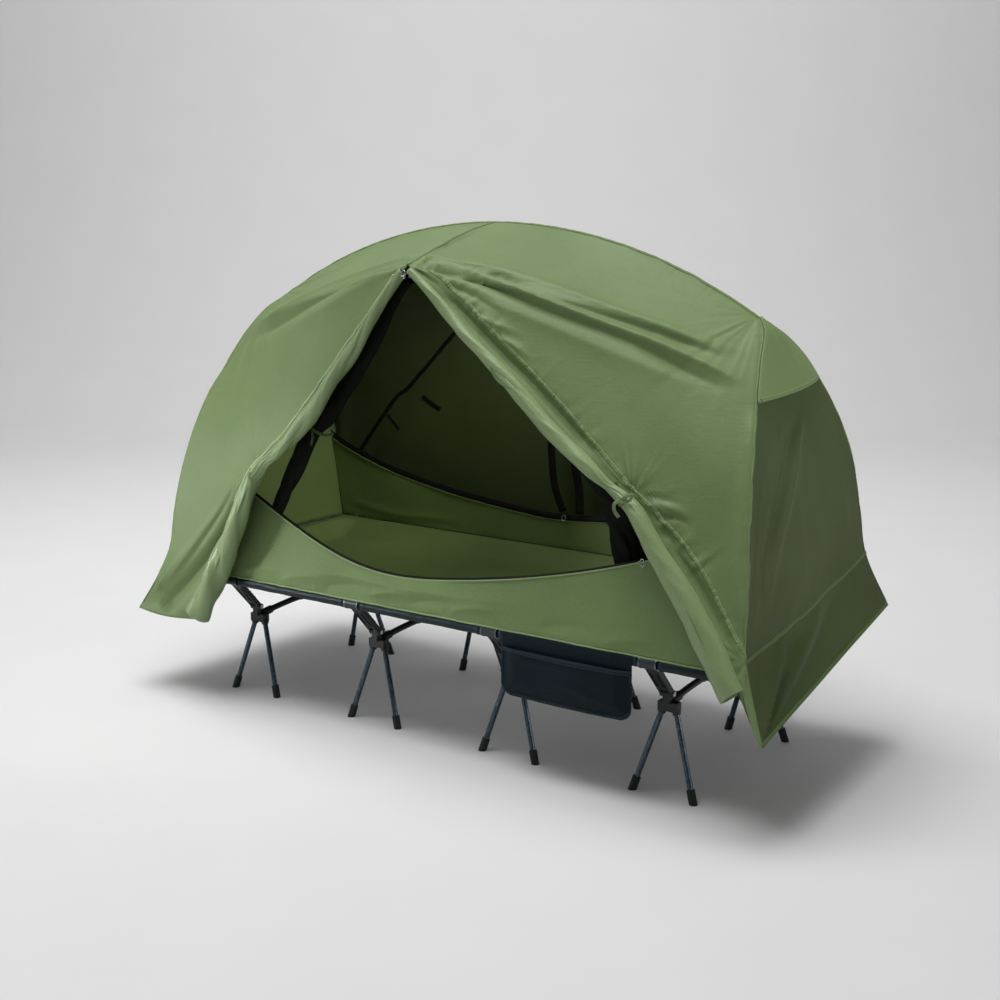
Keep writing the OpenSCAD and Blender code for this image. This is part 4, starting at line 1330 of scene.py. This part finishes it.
def front_panel():
    """The door side's low wall, sewn to the rail's sleeve, with soft folds above the rail."""
    folds = Folds(tub_wall(FRONT_RIM, -1, FRONT_LEAN, 34, 300), (0, -1, 0.1))
    folds.billow(0.35, 0.003, 111)
    foot = [(-0.92, -0.38, 0.425), (0, -0.38, 0.425), (0.92, -0.38, 0.425)]
    folds.puckers(foot, 0.045, 0.028, 0.0035, 112)
    folds.puckers([(x, -TUB_Y, z - 0.004) for x, z in FRONT_RIM], 0.035, 0.022, 0.0015, 113)
    for x, height in ((-0.72, 0.008), (-0.55, 0.009), (-0.38, -0.007), (-0.2, 0.009), (-0.05, -0.006),
                      (0.1, 0.008), (0.4, -0.006), (0.62, 0.008)):
        path = vec([(0, -0.378, 0.43), (0.09, -0.374, 0.452), (0.2, -0.372, 0.458)]) + (x, 0, 0)
        folds.ridge(path, 0.011, height, fade=(0.2, 0.5), spread=1.0)
    long_fold = [(-0.6, -0.37, 0.44), (-0.35, -0.37, 0.475), (0.0, -0.37, 0.47), (0.4, -0.37, 0.49)]
    folds.ridge(long_fold, 0.016, 0.008, fade=(0.3, 0.3), spread=0.6)
    piece = cloth("tent_front_panel", [folds.done()], "tent_cloth", TENT, TENT_IN, away_from=(0, 0.5, 0.5),
                  node="inner_tent")


def tub_back():
    """The inner tent's back wall."""
    folds = Folds(tub_wall(BACK_RIM, 1, BACK_LEAN, 26, 160), (0, -1, 0.2))
    folds.billow(0.35, 0.004, 121)
    folds.puckers([(-0.9, TUB_Y, 0.475), (0, TUB_Y, 0.475), (0.9, TUB_Y, 0.475)], 0.05, 0.03, 0.0025, 122)
    folds.ridge([(-0.9, 0.34, 0.52), (-0.7, 0.345, 0.5), (-0.4, 0.35, 0.505)], 0.012, 0.005)
    return folds.done()


def tub_floor():
    """The inner tent's floor: it sags between the rails, and curves up to its seams with the walls."""
    x = np.linspace(-TUB_END, TUB_END, 160)[None]
    y = np.linspace(-TUB_Y, TUB_Y, 60)[:, None]
    sag = 0.012 * (1 - (y / TUB_Y) ** 2) * (1 - 0.35 * np.abs(x / TUB_END) ** 4)
    rise = smooth_step((y - TUB_Y + COVE) / COVE) + smooth_step((np.abs(x) - TUB_END + COVE) / COVE)
    folds = Folds(grid_of(x, y, FLOOR_Z - sag + SEAM_RISE * np.minimum(rise, 1.0)), (0, 0, 1))
    folds.billow(0.5, 0.002, 123)
    folds.streaks((1, 0.1, 0), 0.09, 0.5, 0.0012, 124)
    for end in (-1, 1):
        folds.fan((end * 0.9, 0.33, 0.416), 0.25, 0.003, 26, 125, toward=(0, 0, 0.416))
    return folds.done()


def tub_end(end):
    """An end wall of the inner tent, drawn up to a narrow tip."""
    t = np.linspace(0, 1, 34)[:, None]
    below = TUB_Y - END_NARROW * t / END_RIM_SHARE
    above = END_TIP + (TUB_Y - END_NARROW - END_TIP) * (1 - t) / (1 - END_RIM_SHARE)
    half = np.minimum(below, above)
    grid = grid_of(end * (TUB_END + 0.004 - 0.04 * t), half * np.linspace(-1, 1, 50),
                   SEAM_Z + t * (END_TALL - SEAM_RISE))
    folds = Folds(grid, (-end, 0, 0))
    folds.billow(0.3, 0.004, 126)
    folds.streaks((0, 0.2, 1), 0.1, 0.3, 0.0025, 127)
    return folds.done()


def tub():
    """Floor, back wall and end walls of the inner tent, in one welded sheet."""
    grids = [tub_back(), tub_floor(), tub_end(-1), tub_end(1)]
    piece = cloth("tent_tub", grids, "tent_cloth", TENT_IN, node="inner_tent")


def rim_trims():
    """Black binding and piping along both rims, piping along the rail, and the tub's seams."""
    front = rim_trim(FRONT_RIM, -1, FRONT_LEAN)
    back = rim_trim(BACK_RIM, 1, BACK_LEAN)
    piping("front_rim_piping", front + (0, -0.003, -0.0045), 0.0026, TRIM)
    add(strap("front_rim_binding", [*front[::8], front[-1]], 0.0085, (0, -0.35, 1), thick=0.004, count=160,
              seed=131), "mesh", BINDING)
    piping("back_rim_piping", back + (0, -0.004, -0.003), 0.0022, TENT_IN)
    upper = [*(back[::8] + (0, -0.002, 0.009)), back[-1] + (0, 0, 0.009)]
    add(strap("back_rim_binding", upper, 0.02, thick=0.004, count=160, seed=132), "mesh", BINDING)
    proud = vec([(-0.915, -0.001, 0.001), (0, -0.0015, 0.001), (0.925, -0.001, 0.001)])
    rail = spline(proud + (0, -PANEL_OUT, PANEL_LOW), 180)
    rail[:, 2] += 0.0008 * waves(rail[:, 0] / 0.03 + 50, 133)
    piping("front_panel_piping", rail, 0.0026, TRIM)
    for end in (-1, 1):
        corner = [(TUB_END, TUB_Y - 0.003, SEAM_Z + 0.002), (TUB_END - 0.006, TUB_Y - 0.03, 0.58),
                  (TUB_END - 0.012, TUB_Y - 0.054, 0.68), (TUB_END - 0.02, TUB_Y - 0.078, 0.768)]
        piping(f"tub_corner_{side_name(end)}", spline(mirrored(corner, end), 40), 0.0026, TENT_SEAM)
    seam = grid_of([-TUB_END, -0.4, 0.3, TUB_END], TUB_Y - 0.003, SEAM_Z + 0.001)
    piping("floor_seam_back", spline(seam, 80), 0.0024, TENT_SEAM)
    seam = grid_of(-TUB_END + 0.003, [-TUB_Y, 0, TUB_Y], SEAM_Z + 0.001)
    piping("floor_seam_left", spline(seam, 50), 0.0024, TENT_SEAM)


# ---------------------------------------------------------------- hooks, straps and tapes inside

def hook(name, where, size):
    """A small metal hook and its ring, where a strap meets the rim."""
    where = vec(where)
    parts = [ring_mesh("ring", where, (0, -1, 0.2), 0.008 * size, 0.0018 * size, stretch=1.3),
             ring_mesh("hook", where + vec((0.004, -0.001, -0.012)) * size, (1, 0.2, 0), 0.006 * size,
                       0.0016 * size)]
    add(join(name, parts), "bright_metal", BRIGHT)


def inner_details(tree):
    """Hooks and a buckle, the two straps of the roof, and the seam and tabs inside the fly's back."""
    hook("apex_ring", (-0.006, -0.424, 1.379), 0.8)
    hook("front_rim_hook", (0.727, -TUB_Y - 0.01, 0.659), 0.85)
    hook("back_rim_buckle", (0.028, TUB_Y - 0.016, 0.57), 0.9)
    narrow = [(-0.03, 0.33, 1.2), (-0.026, 0.34, 0.95), (-0.02, 0.345, 0.76), (-0.008, 0.346, 0.667),
              (0.026, 0.344, 0.59)]
    wide = [(0.05, 0.33, 1.2), (0.06, 0.34, 0.95), (0.066, 0.344, 0.772), (0.083, 0.346, 0.669),
            (0.09, 0.344, 0.59)]
    add(strap("roof_strap_1", narrow, 0.028, (0, -1, 0), seed=141), "mesh", WEBBING)
    add(strap("roof_strap_2", wide, 0.032, (0, -1, 0), seed=142), "mesh", WEBBING)
    seam = [(-0.36, 0.43, 1.24), (-0.475, 0.43, 1.133), (-0.598, 0.43, 1.016), (-0.726, 0.43, 0.892),
            (-0.884, 0.43, 0.712), (-0.94, 0.43, 0.65)]
    left = [(-0.743, 0.43, 0.859), (-0.72, 0.43, 0.829), (-0.697, 0.43, 0.799)]
    right = [(-0.577, 0.43, 0.93), (-0.545, 0.43, 0.908), (-0.512, 0.43, 0.886)]
    for name, path, width, count in (("roof_seam", seam, 0.013, 200), ("roof_tab_left", left, 0.012, 40),
                                     ("roof_tab_right", right, 0.018, 40)):
        tape(name, path, width, tree, (0, -1, 0), BINDING, count=count, base=0.002)


# ---------------------------------------------------------------- bed, sleeves and pocket

def sleeve(start, end, side):
    """The cloth sleeve round one stretch of rail, tight, with slight wrinkles and hems."""
    count = max(int((end - start) / 0.006), 12)
    x = np.linspace(start, end, count)[:, None]
    turn = np.linspace(0, 2 * math.pi, 28, endpoint=False)
    edge = np.minimum(np.arange(count), np.arange(count)[::-1])[:, None]
    wrinkle = 0.0006 * waves(turn / (2 * math.pi) * 5 + x * 9 + 40, 151)
    wrinkle = wrinkle + 0.0005 * waves(x / 0.02 + 50, 152)
    hem = 0.0008 * ((edge == 1) | (edge == 2)) - 0.0016 * (edge == 0)
    radius = SLEEVE_R - 0.0006 + hem + wrinkle * (edge > 2)
    grid = grid_of(x, side * HALF_W + radius * np.cos(turn), RAIL_Z + radius * np.sin(turn))
    return make_mesh("sleeve", grid.reshape(-1, 3), grid_faces(*grid.shape[:2], wrap=True))


def bed():
    """The sleeves round the rails between the clamps, and the bed cloth between the rails."""
    clear = 0.0305
    inset = 0.004
    starts = [-RAIL_END + inset] + [x + clear for x in LEG_X]
    stops = [x - clear for x in LEG_X] + [RAIL_END - inset]
    parts = [sleeve(start, stop, side) for side in (-1, 1) for start, stop in zip(starts, stops)]
    sleeves = add(join("rail_sleeves", parts), "bed_cloth", SLEEVE)
    thicken(sleeves, THIN_CLOTH)
    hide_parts("cot_sheet")
    x = np.linspace(-RAIL_END + inset, RAIL_END - inset, 150)[None]
    y = np.linspace(-HALF_W + 0.012, HALF_W - 0.012, 56)[:, None]
    pull = np.cos(x * 2 * math.pi / (LEG_X[1] - LEG_X[0])) * 0.5 + 0.5
    sag = (1 - (y / HALF_W) ** 2) * (0.014 + 0.006 * pull)
    rise = 0.006 * np.abs(y / HALF_W) ** 6
    folds = Folds(grid_of(x, y, RAIL_Z + rise - sag), (0, 0, -1))
    folds.billow(0.4, 0.003, 153)
    folds.streaks((0, 1, 0), 0.12, 0.3, 0.0016, 154)
    bed_cloth = cloth("bed_cloth", [folds.done()], "bed_cloth", BED, thick=0.0012, node="cot_sheet")


# The pocket's mouth, its round corners, its columns from end to end, and its lower edge, which droops
POCKET_MOUTH = 0.37
POCKET_CORNER = 0.034
POCKET_X = lerp(POCKET_LOW[0], POCKET_HIGH[0], 0.5 - 0.5 * np.cos(np.linspace(0, math.pi, 120)))
FROM_END = np.minimum(POCKET_X - POCKET_LOW[0], POCKET_HIGH[0] - POCKET_X)
ROUND_UP = POCKET_CORNER - np.sqrt(POCKET_CORNER ** 2 - np.maximum(POCKET_CORNER - FROM_END, 0) ** 2)
DROOP = np.sin(math.pi * (POCKET_X - POCKET_LOW[0]) / (POCKET_HIGH[0] - POCKET_LOW[0]))
POCKET_EDGE = POCKET_LOW[2] + ROUND_UP - 0.0036 * DROOP + 0.003
# Where the pocket's back hangs, outside the rail's sleeve
POCKET_R = SLEEVE_R + 0.002


def pocket_panel(top, bulge, out_y):
    """A panel of the pocket, from its lower edge up to a height, that bulges inside its edges."""
    z = lerp(POCKET_EDGE[None], top, np.linspace(0, 1, 60)[:, None])
    edge = np.minimum(FROM_END, z - POCKET_EDGE) / 0.05
    return grid_of(POCKET_X, out_y - bulge * smooth_step(edge), z)


def pocket_piece(name, grid):
    """One panel of the pocket as a piece."""
    piece = cloth(name, [grid], "pocket_cloth", POCKET, away_from=(0.5, 0, 0.3), thick=THIN_CLOTH,
                  node="side_pocket")


def pocket():
    """A hanging pocket: a panel that wraps over the rail, and a slack front sewn on round three sides."""
    x0 = POCKET_LOW[0]
    x1 = POCKET_HIGH[0]
    turn = np.linspace(math.pi, math.pi / 2, 12)[1:, None]
    over = grid_of(POCKET_X, -HALF_W + POCKET_R * np.cos(turn), RAIL_Z + POCKET_R * np.sin(turn))
    back = Folds(np.concatenate([pocket_panel(RAIL_Z, 0.002, -HALF_W - POCKET_R), over]), (0, -1, 0))
    back.billow(0.2, 0.0015, 162)
    back_grid = back.done(last_row_free=True)
    front = Folds(pocket_panel(POCKET_MOUTH, 0.013, -HALF_W - POCKET_R - 0.0025), (0, -1, 0))
    front.billow(0.16, 0.0035, 164)
    hem_line = grid_of(POCKET_X[::8], -HALF_W - SLEEVE_R, POCKET_EDGE[::8] + 0.006)
    front.puckers(hem_line, 0.022, 0.018, 0.0018, 165)
    front.ridge([(x0 + 0.03, -0.4, 0.36), (x0 + 0.15, -0.4, 0.34), (x1 - 0.1, -0.4, 0.35)], 0.014, 0.004)
    front.ridge([(x0 + 0.05, -0.4, 0.27), (x0 + 0.2, -0.4, 0.295), (x0 + 0.36, -0.4, 0.27)], 0.018, 0.004)
    z = POCKET_LOW[2] + 0.03
    front.ridge([(x0 + 0.1, -0.4, z), (x0 + 0.22, -0.4, z + 0.015), (x1 - 0.06, -0.4, z)], 0.016, -0.003)
    front_grid = front.done()
    pocket_piece("pocket_back", back_grid)
    pocket_piece("pocket_front", front_grid)
    tree = tree_of([front_grid, back_grid])
    side = (0, -1, 0.1)
    first = POCKET_X[2]
    last = POCKET_X[-3]
    mouth = POCKET_MOUTH - 0.01
    round_edge = grid_of(POCKET_X[2:-2:6], -0.4, POCKET_EDGE[2:-2:6] + 0.005)
    edge = [(first, -0.4, mouth), *round_edge, (last, -0.4, mouth)]
    hem = [(first, -0.4, mouth + 0.004), ((x0 + x1) / 2, -0.41, mouth + 0.002), (last, -0.4, mouth + 0.004)]
    for name, path, width, count in (("pocket_binding", edge, 0.0105, 200), ("pocket_hem", hem, 0.014, 140)):
        tape(name, path, width, tree, side, POCKET_SEAM, "pocket_cloth", "pocket_front", count=count)


camera()
studio()
finish_nodes()
fly, fly_tree = rainfly()
fly_seams(fly_tree)
vent_hood(-1)
vent_hood(1)
door_rolls()
ties()
front_panel()
tub()
rim_trims()
inner_details(fly_tree)
bed()
pocket()
